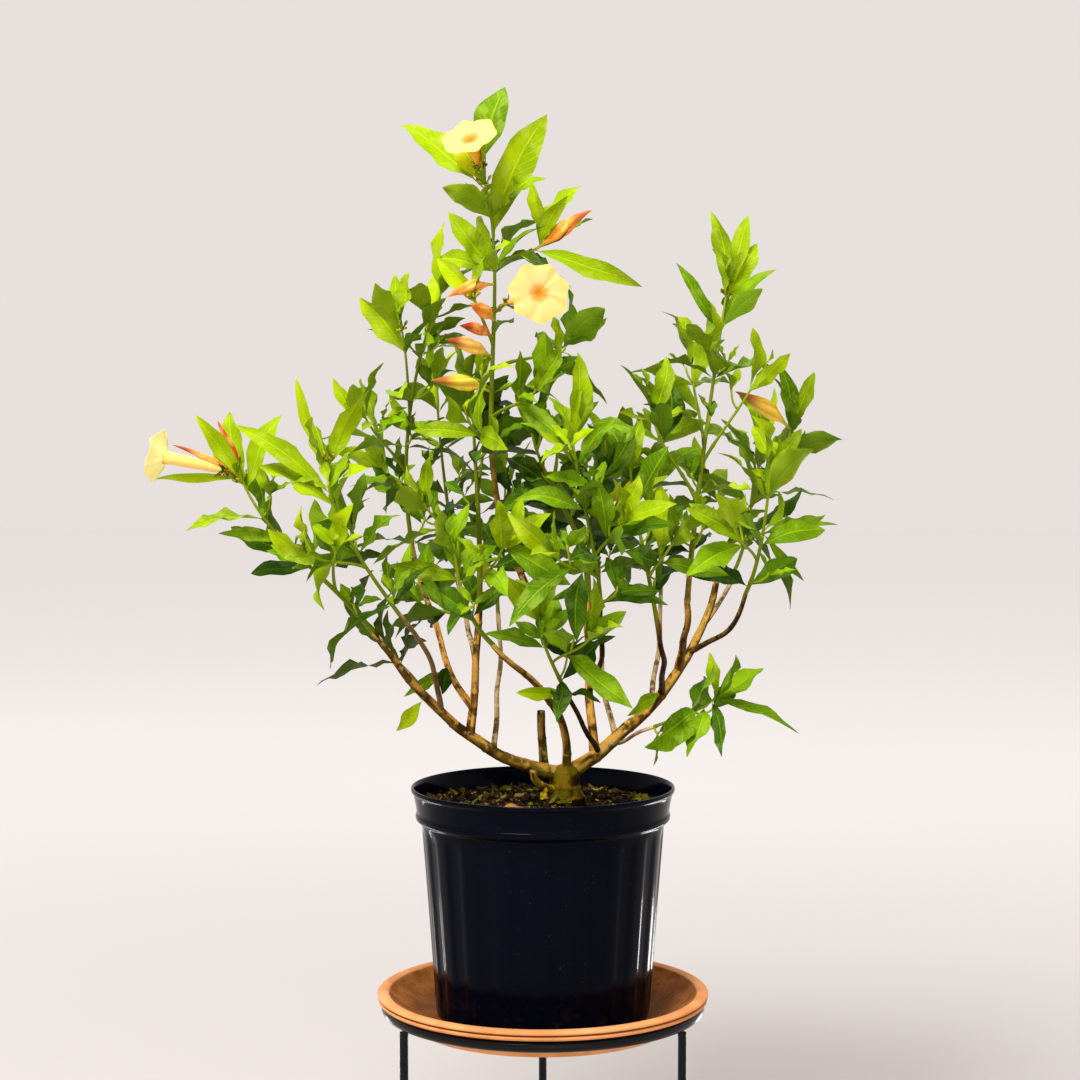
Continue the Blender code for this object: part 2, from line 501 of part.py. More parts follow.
def make_limbs(materials, parts, cutters):
    """The trunk and the woody limbs, each cut 0.3 mm clear of those it forks from.

    Gives each limb's tip and the direction that it ends in.
    """
    lift = np.array((0.0, 0.0, RIM_Z))
    trunk = sweep(TRUNK_FOOT + lift, TRUNK_TOP + lift, (0, 0, 1), (0, 0, 1))
    trunk_points = [at_share(trunk, share)[0] for share in np.linspace(0, 1, len(TRUNK_RADII))]
    trunk_points[1][:2] = trunk_points[0][:2]      # the foot stands upright, so its cut is level
    lines = {"trunk": trunk}
    sections = {"trunk": (trunk_points, list(TRUNK_RADII))}
    for limb in LIMBS:
        start = at_share(lines[limb.parent], limb.at)[0]
        lines[limb.name] = sweep(start, limb.tip + lift, limb.leave, limb.arrive)
        shares, points = stations(lines[limb.name], LIMB_STATION)
        sections[limb.name] = (points, list(limb.thick + (limb.thin - limb.thick) * shares))
    made = []
    for name, (points, radii) in sections.items():
        mesh = limb_mesh(name, points, radii)
        piece = put(name, mesh, materials["bark"], parts)
        tree = tree_of(mesh)
        for guard, guard_tree in made:
            if tree.overlap(guard_tree):
                cut(piece, guard)
        applied(piece)
        smooth(piece.data)
        guard = put(name + "_guard", limb_mesh(name + "_guard", points, [r + GAP for r in radii]),
                    materials["bark"], cutters)
        guard.hide_render = True
        guard.display_type = "WIRE"
        made.append((guard, tree_of(guard.data)))
    return {name: (points[-1], unit(points[-1] - points[-2]))
            for name, (points, radii) in sections.items()}


def loft(rings):
    """Vertices and faces of a closed solid through a row of rings; a ring of one point is a tip."""
    points = np.vstack(rings)
    first = np.cumsum([0] + [len(ring) for ring in rings])
    faces = []
    for low, high, a, b in zip(rings[:-1], rings[1:], first[:-1], first[1:]):
        count = max(len(low), len(high))
        for k in range(count):
            j = (k + 1) % count
            if len(low) == 1:
                faces.append((a, b + j, b + k))
            elif len(high) == 1:
                faces.append((a + k, a + j, b))
            else:
                faces.append((a + k, a + j, b + j, b + k))
    if len(rings[0]) > 1:
        faces.append(tuple(range(len(rings[0])))[::-1])
    if len(rings[-1]) > 1:
        faces.append(tuple(first[-2] + k for k in range(len(rings[-1]))))
    return points, [tuple(int(i) for i in face) for face in faces]


def solid(name, rings, finish, collection):
    """An object for a lofted solid, with its faces turned outwards."""
    points, faces = loft(rings)
    mesh = bpy.data.meshes.new(name)
    mesh.from_pydata(points.tolist(), [], faces)
    outward = bmesh.new()
    outward.from_mesh(mesh)
    bmesh.ops.recalc_face_normals(outward, faces=outward.faces)
    outward.to_mesh(mesh)
    outward.free()
    return put(name, mesh, finish, collection)


def across(direction, hint=(0.0, 0.0, 1.0)):
    """Two directions square to a direction, the second as near to the hint as it can be."""
    direction = unit(direction)
    hint = np.asarray(hint, float)
    if abs(direction @ unit(hint)) > 0.999:
        hint = np.array((1.0, 0.2, 0.0))
    up = unit(hint - (hint @ direction) * direction)
    return np.cross(direction, up), up


def round_ring(centre, direction, radius, sides, phase=0.0, wave=None):
    """A ring of points about a direction; wave gives each point's radius as a share."""
    side, up = across(direction, (0.3, 1.0, 0.1))
    angles = phase + math.tau * np.arange(sides) / sides
    shares = np.ones(sides) if wave is None else wave
    return (np.asarray(centre) + radius * shares[:, None]
            * (np.cos(angles)[:, None] * side + np.sin(angles)[:, None] * up))


def shoot_line(*ends):
    """The few points of a shoot's centreline, on which its leaves sit."""
    return np.array(stations(sweep(*ends), SHOOT_STATION)[1])


def stem_line(tip, heading, end, arrive):
    """The centreline of a mass's stem, which starts square on the end of its bough."""
    start = tip + GAP * heading
    return np.vstack((start, shoot_line(start + STEM_COLLAR * heading, end, heading, arrive)))


def shoot_rings(line, thick, sides):
    """Cross-sections of a shoot that thins towards its tip."""
    headings = np.gradient(line, axis=0)
    shares = np.linspace(0.0, 1.0, len(line))
    return [round_ring(point, heading, thick + (SHOOT_TIP - thick) * share, sides)
            for point, heading, share in zip(line, headings, shares)]


def leaf_rings(root, direction, face, length, droop, width, start=0.0, grow=0.0):
    """Cross-sections of a folded leaf: two edges and a keel, narrowing to a tip.

    direction is where its stalk points, face the side that its upper surface looks to, droop how
    far the tip falls as a share of its length, width its share of the usual width, start the share
    of its length that it begins at, grow the clearance added all round.
    """
    side = np.cross(direction, face)
    widest = max(half for share, half in LEAF_STATIONS)
    shares = [start] + [share for share, half in LEAF_STATIONS if share > start]
    rings = []
    for share, half in zip(shares, np.interp(shares, *zip(*LEAF_STATIONS))):
        centre = root + length * (share * direction + np.array((0.0, 0.0, -droop * share**2)))
        if half == 0.0:
            rings.append((centre + math.copysign(grow, share - 0.5) * direction)[None, :])
        else:
            edge, keel = half * width * length + grow, LEAF_KEEL * half / widest + grow
            top = centre + grow * face
            rings.append(np.array((top + edge * side, top - edge * side, centre - keel * face)))
    return rings


class Neighbours:
    """Solids already placed, with their owner and box, to keep new ones clear of."""

    def __init__(self):
        self.solids = []

    def add(self, owner, rings):
        points, faces = loft(rings)
        self.add_mesh(owner, points, faces)

    def add_mesh(self, owner, points, faces):
        tree = BVHTree.FromPolygons([Vector(p) for p in points], faces)
        self.solids.append((owner, points.min(axis=0), points.max(axis=0), tree))

    def meets(self, rings, owners):
        """Whether a lofted solid meets a placed one whose owner the test accepts."""
        points, faces = loft(rings)
        low, high = points.min(axis=0), points.max(axis=0)
        tree = None
        for owner, other_low, other_high, other in self.solids:
            if not owners(owner) or (low > other_high).any() or (high < other_low).any():
                continue
            tree = tree or BVHTree.FromPolygons([Vector(p) for p in points], faces)
            if tree.overlap(other):
                return True
        return False


def whorl_places(line, bare, apart):
    """(share of the length, rank from the tip) of each whorl above the bare part of a shoot."""
    length = line_length(line)
    below, rank, places = 0.0, 0, []
    while True:
        below += WHORLS[min(rank, len(WHORLS) - 1)].step * apart
        if below > length * (1.0 - bare):
            return places
        places.append((1.0 - below / length, rank))
        rank += 1


def leaf_places(line, bare, turn, apart, draw):
    """Root, direction, face, length, droop and width of each leaf of a shoot, in whorls."""
    leaves = []
    for share, rank in whorl_places(line, bare, apart):
        whorl = WHORLS[min(rank, len(WHORLS) - 1)]
        node, axis = at_share(line, share)
        side, up = across(axis, (0.2, 1.0, 0.1))
        outlook = axis + LEAF_OUTLOOK * unit((node[0] - TRUNK_FOOT[0], node[1] - TRUNK_FOOT[1], 0.0))
        for number in range(whorl.count):
            angle = math.radians(turn + rank * 180 / whorl.count + number * 360 / whorl.count
                                 + draw.uniform(-14, 14))
            pitch = math.radians(whorl.pitch + draw.uniform(-9, 9))
            length = whorl.length * draw.uniform(0.82, 1.10)
            outward = math.cos(angle) * side + math.sin(angle) * up
            direction = unit(math.cos(pitch) * axis + math.sin(pitch) * outward + (0, 0, 0.12))
            face = unit(outlook - (outlook @ direction) * direction)
            droop = draw.uniform(0.02, 0.14) + LEAF_SAG * min(rank, 4)
            root = at_share(line, share - LEAF_SINK * draw.uniform(0.7, 1.3) / line_length(line))[0]
            leaves.append((root, direction, face, length, droop, 1.0))
    return leaves


def reach_leaf(line, reach, lift):
    """Root, direction, face, length, droop and width of a leaf whose tip has a given place."""
    root = at_share(line, reach.at)[0]
    span = reach.tip + lift - root
    length = np.linalg.norm(span)
    direction = unit(span + (0, 0, REACH_DROOP * length))
    return root, direction, across(direction, REACH_FACE)[1], length, REACH_DROOP, reach.width


def spur_lines(line, bare, apart, draw):
    """Short side spurs at every third whorl of a long shoot."""
    spurs = []
    if line_length(line) < SPUR_MIN_SHOOT:
        return spurs
    for share, rank in whorl_places(line, bare, apart):
        if rank % SPUR_EVERY == SPUR_EVERY - 1:
            node, axis = at_share(line, share)
            side, up = across(axis, (0.2, 1.0, 0.1))
            angle = draw.uniform(0, math.tau)
            outward = math.cos(angle) * side + math.sin(angle) * up
            reach = draw.uniform(*SPUR_LENGTH)
            tip = node + reach * (0.75 * outward + 0.45 * axis + (0, 0, 0.25))
            spurs.append(shoot_line(node, tip, outward, 0.5 * outward + (0, 0, 0.6)))
    return spurs


def blossom_rings(base, blossom, lift):
    """A trumpet: a slender tube, a throat that widens, and a star of five rounded lobes."""
    mouth = np.asarray(blossom.mouth) + lift
    axis = unit(mouth - base)
    length = np.linalg.norm(mouth - base)
    points = 2 * BLOSSOM_LOBES
    star = np.where(np.arange(points) % 2 == 0, 1.0, 0.62)
    even = np.ones(points)
    form = ((0.0, 0.0016, even), (0.45, 0.0024, even), (0.62, 0.0060, even), (0.90, 0.0095, even),
            (1.0, blossom.radius, star))
    rings = [round_ring(base + share * length * axis, axis, radius, points, wave=wave)
             for share, radius, wave in form]
    rings.append(round_ring(mouth + 0.0016 * axis, axis, 0.008, points))
    rings.append((mouth - 0.010 * axis)[None, :])
    return rings


def bud_rings(base, bud, lift):
    """A spindle: a thin stalk that swells and closes to a point."""
    tip = np.asarray(bud.tip) + lift
    axis = unit(tip - base)
    form = ((0.0, 0.0013), (0.26, 0.0022), (0.50, bud.radius), (0.78, 0.80 * bud.radius))
    rings = [round_ring(base + share * (tip - base), axis, radius, 6) for share, radius in form]
    return rings + [tip[None, :]]


def grow_shoots(tips, radii, lift):
    """Centreline, thickness and bareness of every shoot of every mass, spurs last."""
    grown = {}
    for mass, (bough, shoots) in MASSES.items():
        draw = random.Random(mass)
        tip, heading = tips[bough]
        rows = []
        for shoot in shoots:
            end = shoot.tip + lift
            if shoot.on is None:
                line = stem_line(tip, heading, end, shoot.arrive)
                thick = radii[bough]
            else:
                parent = rows[shoot.on]
                start, along = at_share(parent[0], shoot.at)
                leave = unit(unit(end - start) + 0.25 * along)
                line = shoot_line(start, end, leave, shoot.arrive)
                thick = STEM_SHARE * (parent[1] + (SHOOT_TIP - parent[1]) * shoot.at)
            rows.append((line, thick, shoot.bare, shoot.turn, shoot.apart))
        for line, thick, bare, turn, apart in tuple(rows):
            for spur in spur_lines(line, bare, apart, draw):
                rows.append((spur, 0.6 * thick, 0.45, draw.uniform(0, 90), 1.0))
        grown[mass] = (rows, draw)
    return grown


def keep_largest(body):
    """Drop the loose scraps and the inner shells that a union leaves."""
    left, shells = set(body.faces), []
    while left:
        edge_faces = [left.pop()]
        shell = []
        while edge_faces:
            face = edge_faces.pop()
            shell.append(face)
            for edge in face.edges:
                for other in edge.link_faces:
                    if other in left:
                        left.remove(other)
                        edge_faces.append(other)
        shells.append(shell)
    for shell in sorted(shells, key=len)[:-1]:
        bmesh.ops.delete(body, geom=shell, context="FACES")


def fuse(name, pieces, finish, parts):
    """Join overlapping solids into one body with a single Boolean union, then apply it."""
    others = bpy.data.collections.new(name + "_pieces")
    bpy.context.scene.collection.children.link(others)
    stem = pieces[0]
    for piece in pieces[1:]:
        others.objects.link(piece)
        bpy.context.scene.collection.objects.unlink(piece)
    union = stem.modifiers.new("union", "BOOLEAN")
    union.operation = "UNION"
    union.operand_type = "COLLECTION"
    union.collection = others
    union.solver = "EXACT"
    applied(stem)
    for piece in pieces[1:]:
        bpy.data.objects.remove(piece, do_unlink=True)
    bpy.data.collections.remove(others)
    tidy = bmesh.new()
    tidy.from_mesh(stem.data)
    keep_largest(tidy)
    tidy.to_mesh(stem.data)
    tidy.free()
    stem.name = name
    stem.data.materials.clear()
    stem.data.materials.append(finish)
    parts.objects.link(stem)
    bpy.context.scene.collection.objects.unlink(stem)


def make_masses(materials, parts, tips):
    """Every mass of foliage: its shoots, blossoms and buds, then the leaves that fit."""
    lift = np.array((0.0, 0.0, RIM_Z))
    scene = bpy.context.scene.collection
    leaf_green = materials["foliage"]
    placed = Neighbours()
    for piece in parts.objects:
        if piece.data.polygons:
            points = np.array([v.co[:] for v in piece.data.vertices])
            placed.add_mesh(("wood", "limb"), points, [tuple(p.vertices) for p in piece.data.polygons])
    grown = grow_shoots(tips, {limb.name: limb.thin for limb in LIMBS}, lift)
    pieces = {mass: [] for mass in MASSES}
    for mass, (rows, draw) in grown.items():
        for number, (line, thick, bare, turn, apart) in enumerate(rows):
            rings = shoot_rings(line, thick, 5 if number == 0 else 3)
            if number and placed.meets(rings, lambda owner: owner[0] != mass):
                rows[number] = None
                continue
            placed.add((mass, "shoot"), rings)
            pieces[mass].append(solid(mass, rings, leaf_green, scene))
    for blossom in BLOSSOMS:
        base = at_share(grown[blossom.mass][0][blossom.shoot][0], blossom.at)[0]
        rings = blossom_rings(base, blossom, lift)
        placed.add((blossom.mass, "leaf"), rings)
        pieces[blossom.mass].append(solid("blossom", rings, leaf_green, scene))
    for bud in BUDS:
        base = at_share(grown[bud.mass][0][bud.shoot][0], bud.at)[0]
        rings = bud_rings(base, bud, lift)
        placed.add((bud.mass, "leaf"), rings)
        pieces[bud.mass].append(solid("bud", rings, leaf_green, scene))
    for reach in REACHES:
        rings = leaf_rings(*reach_leaf(grown[reach.mass][0][reach.shoot][0], reach, lift))
        placed.add((reach.mass, "leaf"), rings)
        pieces[reach.mass].append(solid("leaf", rings, leaf_green, scene))
    for mass, (rows, draw) in grown.items():
        for row in rows:
            if row is None:
                continue
            line, thick, bare, turn, apart = row
            for leaf in leaf_places(line, bare, turn, apart, draw):
                rings = leaf_rings(*leaf)
                if placed.meets(leaf_rings(*leaf, grow=LEAF_CLEAR), lambda owner: owner[0] != mass):
                    continue
                if placed.meets(leaf_rings(*leaf, start=BLADE_START), lambda owner: owner[0] == mass):
                    continue
                placed.add((mass, "leaf"), rings)
                pieces[mass].append(solid("leaf", rings, leaf_green, scene))
        fuse(mass, pieces[mass], leaf_green, parts)


def stand_on_origin(parts, cutters):
    """Hang every piece on one empty, moved so that the box's bottom centre is the origin."""
    base = bpy.data.objects.new("potted_allamanda", None)
    bpy.context.scene.collection.objects.link(base)
    graph = bpy.context.evaluated_depsgraph_get()
    corners = []
    for piece in parts.objects:
        mesh = piece.evaluated_get(graph).to_mesh()
        points = np.array([piece.matrix_world @ v.co for v in mesh.vertices])
        corners += [points.min(axis=0), points.max(axis=0)]
    for piece in (*parts.objects, *cutters.objects):
        piece.parent = base
    low, high = np.min(corners, axis=0), np.max(corners, axis=0)
    base.location = (-(low[0] + high[0]) / 2, -(low[1] + high[1]) / 2, -low[2])


def main():
    clear_scene()
    parts = bpy.data.collections.new("potted_allamanda")
    cutters = bpy.data.collections.new("cutters")
    for collection in (parts, cutters):
        bpy.context.scene.collection.children.link(collection)
    materials = make_materials()
    tips = make_limbs(materials, parts, cutters)
    make_masses(materials, parts, tips)
    make_stand(materials, parts, cutters)
    make_pot(materials, parts, cutters)
    bpy.context.view_layer.update()
    stand_on_origin(parts, cutters)


main()
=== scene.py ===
# %% [markdown]
# # A bush allamanda in its nursery pot
#
# The plant stands in a black pot, on a terracotta saucer, in a three-legged ring stand. This file
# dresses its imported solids: every piece below takes the place of one of them and keeps to its
# space. The plant is grown by a rule: limbs fork from a trunk, shoots carry on from the limbs, and
# leaves sit round each shoot in whorls of three.

# %% Load the solids
import json
import math
import random
from collections import namedtuple

import bpy
import numpy as np
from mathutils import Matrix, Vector
from mathutils.bvhtree import BVHTree

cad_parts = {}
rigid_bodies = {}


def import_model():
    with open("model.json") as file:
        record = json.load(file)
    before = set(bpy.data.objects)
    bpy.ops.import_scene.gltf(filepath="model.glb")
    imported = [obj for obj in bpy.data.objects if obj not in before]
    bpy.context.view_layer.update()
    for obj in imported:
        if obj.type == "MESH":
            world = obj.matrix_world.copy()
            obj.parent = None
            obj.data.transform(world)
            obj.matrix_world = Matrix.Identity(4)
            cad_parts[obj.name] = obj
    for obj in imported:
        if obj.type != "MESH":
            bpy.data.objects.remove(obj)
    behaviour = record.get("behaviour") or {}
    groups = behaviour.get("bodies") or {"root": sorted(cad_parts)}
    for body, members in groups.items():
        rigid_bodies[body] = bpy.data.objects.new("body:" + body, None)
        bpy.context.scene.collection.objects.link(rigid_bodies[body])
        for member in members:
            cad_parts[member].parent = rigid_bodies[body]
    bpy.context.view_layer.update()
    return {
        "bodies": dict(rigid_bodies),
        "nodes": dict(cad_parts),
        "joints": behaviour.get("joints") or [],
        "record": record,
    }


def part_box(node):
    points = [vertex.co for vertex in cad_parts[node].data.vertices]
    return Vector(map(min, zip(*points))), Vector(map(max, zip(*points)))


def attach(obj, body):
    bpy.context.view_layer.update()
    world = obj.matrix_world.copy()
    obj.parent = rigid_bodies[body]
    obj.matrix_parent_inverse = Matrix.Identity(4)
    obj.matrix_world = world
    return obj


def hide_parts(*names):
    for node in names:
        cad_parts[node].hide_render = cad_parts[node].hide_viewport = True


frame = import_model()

# %% [markdown]
# ## Where things are
#
# The pot is the piece that everything else is set by. Its axis stands over the middle of its box,
# and its rim is the box's top. Places on the plant are given from the middle of that rim, so they
# are easy to compare with a ruler held against the pot. The numbers could also be measured from
# the floor, but then every one would change if the stand were taller.

# %% Measure the pot
pot_low, pot_high = (np.array(corner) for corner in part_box("pot"))
AXIS = (pot_low + pot_high) / 2
RIM = np.array((AXIS[0], AXIS[1], pot_high[2]))
saucer_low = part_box("saucer")[0][2]
ring_low, ring_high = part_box("stand_ring")
RING_Z = (ring_low[2] + ring_high[2]) / 2
print("rim centre:", RIM.round(4), "ring height:", round(RING_Z, 4))

# %% [markdown]
# ## Camera, floor and light
#
# The camera stands about two and a half metres in front, a little above the rim, and looks slightly
# down: the rim and the saucer then show as narrow ellipses. A long lens keeps the crown from
# leaning outwards. Light comes mostly from above, so the upper sides of the leaves are bright and
# the crown is dark inside. Seen from above, the pot's wall mirrors the floor: two narrow lamps that
# lie on the floor and shine up draw the upright gleams on its flutes, where a wide lamp would turn
# the whole pot grey.

# %% Camera
LENS, SENSOR = 77.9, 36
CAMERA_FROM_RIM = (-0.0031, -2.45, 0.397)
LOOKS_DOWN = 3.21
camera = bpy.data.objects.new("camera", bpy.data.cameras.new("camera"))
bpy.context.scene.collection.objects.link(camera)
camera.data.lens, camera.data.sensor_width = LENS, SENSOR
camera.location = RIM + CAMERA_FROM_RIM
camera.rotation_euler = (math.radians(90 - LOOKS_DOWN), 0, 0)
bpy.context.scene.camera = camera
print("camera:", [round(v, 3) for v in camera.location])

# %% Lights
def softbox(name, place, size, watts):
    """A rectangular lamp at a place, turned to face the crown."""
    lamp = bpy.data.lights.new(name, "AREA")
    lamp.shape = "RECTANGLE"
    lamp.size, lamp.size_y = size
    lamp.energy = watts
    holder = bpy.data.objects.new(name, lamp)
    bpy.context.scene.collection.objects.link(holder)
    holder.location = place
    aim = Vector(RIM + (0, 0, 0.15)) - holder.location
    holder.rotation_euler = aim.to_track_quat("-Z", "Y").to_euler()
    return holder


STRIP_LENGTH, STRIP_AWAY, STRIP_LIFT = 0.80, 0.95, 0.004


def floor_strip(name, bearing, width, watts):
    """A long lamp that lies on the floor, shines up and points away from the pot, out of sight.

    The pot's wall mirrors the floor, so such a lamp shows in it as an upright gleam.
    """
    holder = softbox(name, (0, 0, 0), (STRIP_LENGTH, width), watts)
    away = (STRIP_AWAY * math.cos(bearing), STRIP_AWAY * math.sin(bearing))
    holder.location = (AXIS[0] + away[0], AXIS[1] + away[1], STRIP_LIFT)
    holder.rotation_euler = (math.pi, 0, bearing)
    holder.visible_camera = False


softbox("key_light", (-0.9, -1.6, 3.2), (1.2, 1.2), 125)
softbox("front_fill", (0.7, -3.0, 1.1), (2.0, 2.0), 7)
softbox("back_light", (0.3, 2.4, 2.4), (1.6, 1.6), 15)
floor_strip("right_strip", math.radians(50), 0.12, 4.0)
floor_strip("left_strip", math.radians(134), 0.05, 1.8)

sky = bpy.data.worlds.new("studio")
sky.use_nodes = True
glow = sky.node_tree.nodes["Background"].inputs
glow["Color"].default_value, glow["Strength"].default_value = (0.86, 0.80, 0.775, 1), 0.93
bpy.context.scene.world = sky
bpy.context.scene.view_settings.view_transform = "Standard"
bpy.context.scene.view_settings.look = "None"
print("lights:", len(bpy.data.lights))

# %% [markdown]
# ## Materials as expressions
#
# A finish is a small sum: this colour, darkened by that pattern, worn where a third one is high.
# Nodes can be wired one at a time, but a sum is easier to read as a sum. So one small class holds a
# socket, and adding or multiplying two of them adds the Math node that does it. A second class
# builds one material, and its one method adds any other node.

# %% Two small classes for materials
class Field:
    """A number or colour that changes over a surface; Python's operators add Math nodes."""

    def __init__(self, finish, socket):
        self.finish, self.socket = finish, socket

    def math(self, operation, *values):
        """A Math node of these values."""
        return self.finish.node("ShaderNodeMath", {"operation": operation}, dict(enumerate(values)))

    def __add__(self, other):
        return self.math("ADD", self, other)

    def __sub__(self, other):
        return self.math("SUBTRACT", self, other)

    def __rsub__(self, other):
        return self.math("SUBTRACT", other, self)

    def __mul__(self, other):
        return self.math("MULTIPLY", self, other)

    def __abs__(self):
        return self.math("ABSOLUTE", self)

    __radd__, __rmul__ = __add__, __mul__


class Finish:
    """One material: its Principled shader, and the nodes that feed it."""

    def __init__(self, name, roughness, **constants):
        self.material = bpy.data.materials.new(name)
        self.material.use_nodes = True
        self.tree = self.material.node_tree
        self.shader = self.tree.nodes["Principled BSDF"]
        for socket, value in {"Roughness": roughness, **constants}.items():
            self.shader.inputs[socket.replace("_", " ")].default_value = value
        print("finish:", name)

    def node(self, kind, settings=None, values=None, output=0):
        """Add a node: its settings first, then its sockets' values or links."""
        node = self.tree.nodes.new(kind)
        for name, value in (settings or {}).items():
            setattr(node, name, value)
        for socket, value in (values or {}).items():
            if isinstance(value, Field):
                self.tree.links.new(value.socket, node.inputs[socket])
            else:
                node.inputs[socket].default_value = value
        return Field(self, node.outputs[output])

    def place(self):
        """Object coordinates."""
        return self.node("ShaderNodeTexCoord", output="Object")

    def value(self, name):
        """A number stored on the mesh."""
        return self.node("ShaderNodeAttribute", {"attribute_name": name}, output="Fac")

    def part(self, vector, index):
        """One of a vector's three numbers."""
        return self.node("ShaderNodeSeparateXYZ", None, {0: vector}, index)

    def vector(self, operation, *values, output=0):
        """Vector Math."""
        return self.node("ShaderNodeVectorMath", {"operation": operation}, dict(enumerate(values)), output)

    def noise(self, scale, detail=2.0, stretch=None, rough=0.5):
        """Cloudy noise from 0 to 1, stretched along an axis where stretch says so."""
        where = self.place()
        if stretch:
            where = self.node("ShaderNodeMapping", None, {"Vector": where, "Scale": stretch})
        values = {"Vector": where, "Scale": scale, "Detail": detail, "Roughness": rough}
        return self.node("ShaderNodeTexNoise", None, values)

    def step(self, value, low, high):
        """A smooth step: 0 below low, 1 above high."""
        return self.node("ShaderNodeMapRange", {"interpolation_type": "SMOOTHSTEP"},
                         {"Value": value, "From Min": low, "From Max": high})

    def patches(self, scale, detail, low, high, **more):
        """Patches: 1 where the noise is above high, 0 where it is below low."""
        return self.step(self.noise(scale, detail, **more), low, high)

    def layers(self, colour, *over):
        """A colour with others laid over it in turn, each given as (share, colour)."""
        for share, upper in over:
            first, second = (c if isinstance(c, Field) else (*c, 1.0) for c in (colour, upper))
            colour = self.node("ShaderNodeMix", {"data_type": "RGBA"}, {0: share, 6: first, 7: second}, 2)
        return colour

    def feed(self, field, *sockets):
        """Link a field to one or more of the shader's sockets."""
        for socket in sockets:
            self.tree.links.new(field.socket, self.shader.inputs[socket])

    def bump(self, height, strength, distance):
        """Raise the surface by a pattern, in the light only."""
        values = {"Height": height, "Strength": strength, "Distance": distance}
        self.feed(self.node("ShaderNodeBump", None, values), "Normal")


print("classes:", Field.__name__, Finish.__name__)

# %% [markdown]
# ## Surfaces from numpy
#
# Nearly every piece here is a grid of points worked out from two numbers: how far along, and how
# far across or around. The points come from whole arrays, which is quick enough for hundreds of
# leaves. One function gives the grid's faces, and one puts points and faces into a mesh.

# %% Grids and meshes
def grid(rows, columns, around):
    """Quads between the points of a grid, row by row; around joins the last column to the first."""
    r, c = np.meshgrid(np.arange(rows - 1), np.arange(columns if around else columns - 1), indexing="ij")
    n = (c + 1) % columns
    corners = (r * columns + c, r * columns + n, (r + 1) * columns + n, (r + 1) * columns + c)
    return np.stack(corners, axis=-1).reshape(-1, 4)


def fans(around, count):
    """Triangles that close a grid of rings with count points: its first ring to point count, its last
    ring to point count + 1."""
    here, last = np.arange(around), count - around
    ahead = (here + 1) % around
    return [np.stack((np.full(around, count), ahead, here), axis=-1),
            np.stack((np.full(around, count + 1), last + here, last + ahead), axis=-1)]


def put_piece(name, points, face_sets, finish, slot, nodes=(), values=None, uv=None, sharp=None):
    """A piece from points (n, 3) and sets of faces, each an array (faces, corners).

    values holds numbers for each point, uv two numbers for each point; sharp is the angle in
    degrees past which an edge isn't smoothed. nodes are the solids that the piece stands for.
    """
    mesh = bpy.data.meshes.new(name)
    sets = [np.asarray(faces, dtype=np.int32) for faces in face_sets if len(faces)]
    corners = np.concatenate([faces.ravel() for faces in sets])
    totals = np.concatenate([np.full(len(faces), faces.shape[1], dtype=np.int32) for faces in sets])
    mesh.vertices.add(len(points))
    mesh.vertices.foreach_set("co", np.asarray(points, dtype=np.float32).ravel())
    mesh.loops.add(len(corners))
    mesh.loops.foreach_set("vertex_index", corners)
    mesh.polygons.add(len(totals))
    mesh.polygons.foreach_set("loop_start", (np.cumsum(totals) - totals).astype(np.int32))
    mesh.update(calc_edges=True)
    for label, numbers in (values or {}).items():
        data = mesh.attributes.new(label, "FLOAT", "POINT").data
        data.foreach_set("value", np.asarray(numbers, dtype=np.float32))
    if uv is not None:
        layer = mesh.uv_layers.new(name="surface")
        layer.data.foreach_set("uv", np.asarray(uv, dtype=np.float32)[corners].ravel())
    mesh.shade_smooth()
    if sharp:
        mesh.set_sharp_from_angle(angle=math.radians(sharp))
    mesh.materials.append(finish.material)
    mesh.validate()
    piece = bpy.data.objects.new(name, mesh)
    bpy.context.scene.collection.objects.link(piece)
    if slot is None:
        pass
    else:
        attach(piece, "root")
    if nodes:
        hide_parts(*nodes)


def rounded(profile, times=2):
    """A profile with its corners cut: each time, points a quarter in from both ends of each step."""
    points = np.asarray(profile, float)
    for _ in range(times):
        low, high = points[:-1], points[1:]
        cut = np.stack((0.75 * low + 0.25 * high, 0.25 * low + 0.75 * high), axis=1).reshape(-1, 2)
        points = np.vstack((points[:1], cut[1:-1], points[-1:]))
    return points


def angles_round(count):
    """Even angles round a circle."""
    return math.tau * np.arange(count) / count


def turn(profile, around, relief=None):
    """A profile of (radius, height), from axis to axis, turned about Z: points and face sets.

    Each point is radius * (cos a, sin a) at its height; relief(a, radius, height) adds to the radius.
    The profile's two ends are single points on the axis.
    """
    profile = np.asarray(profile, float)
    angles = angles_round(around)
    radius, height = profile[1:-1, 0][:, None], profile[1:-1, 1][:, None]
    swell = relief(angles[None, :], radius, height) if relief else 0.0
    out = radius + swell + 0 * angles
    rings = np.stack((out * np.cos(angles), out * np.sin(angles), height + 0 * angles), axis=-1)
    points = np.vstack((rings.reshape(-1, 3), (0, 0, profile[0, 1]), (0, 0, profile[-1, 1])))
    return points, [grid(len(rings), around, True), *fans(around, len(rings) * around)]


def outward(face_sets):
    """The same faces turned round."""
    return [faces[:, ::-1] for faces in face_sets]


def per_point(numbers, around, ends):
    """One number for each ring, repeated for the ring's points, and one for each end point."""
    return np.concatenate((np.repeat(numbers, around), ends))


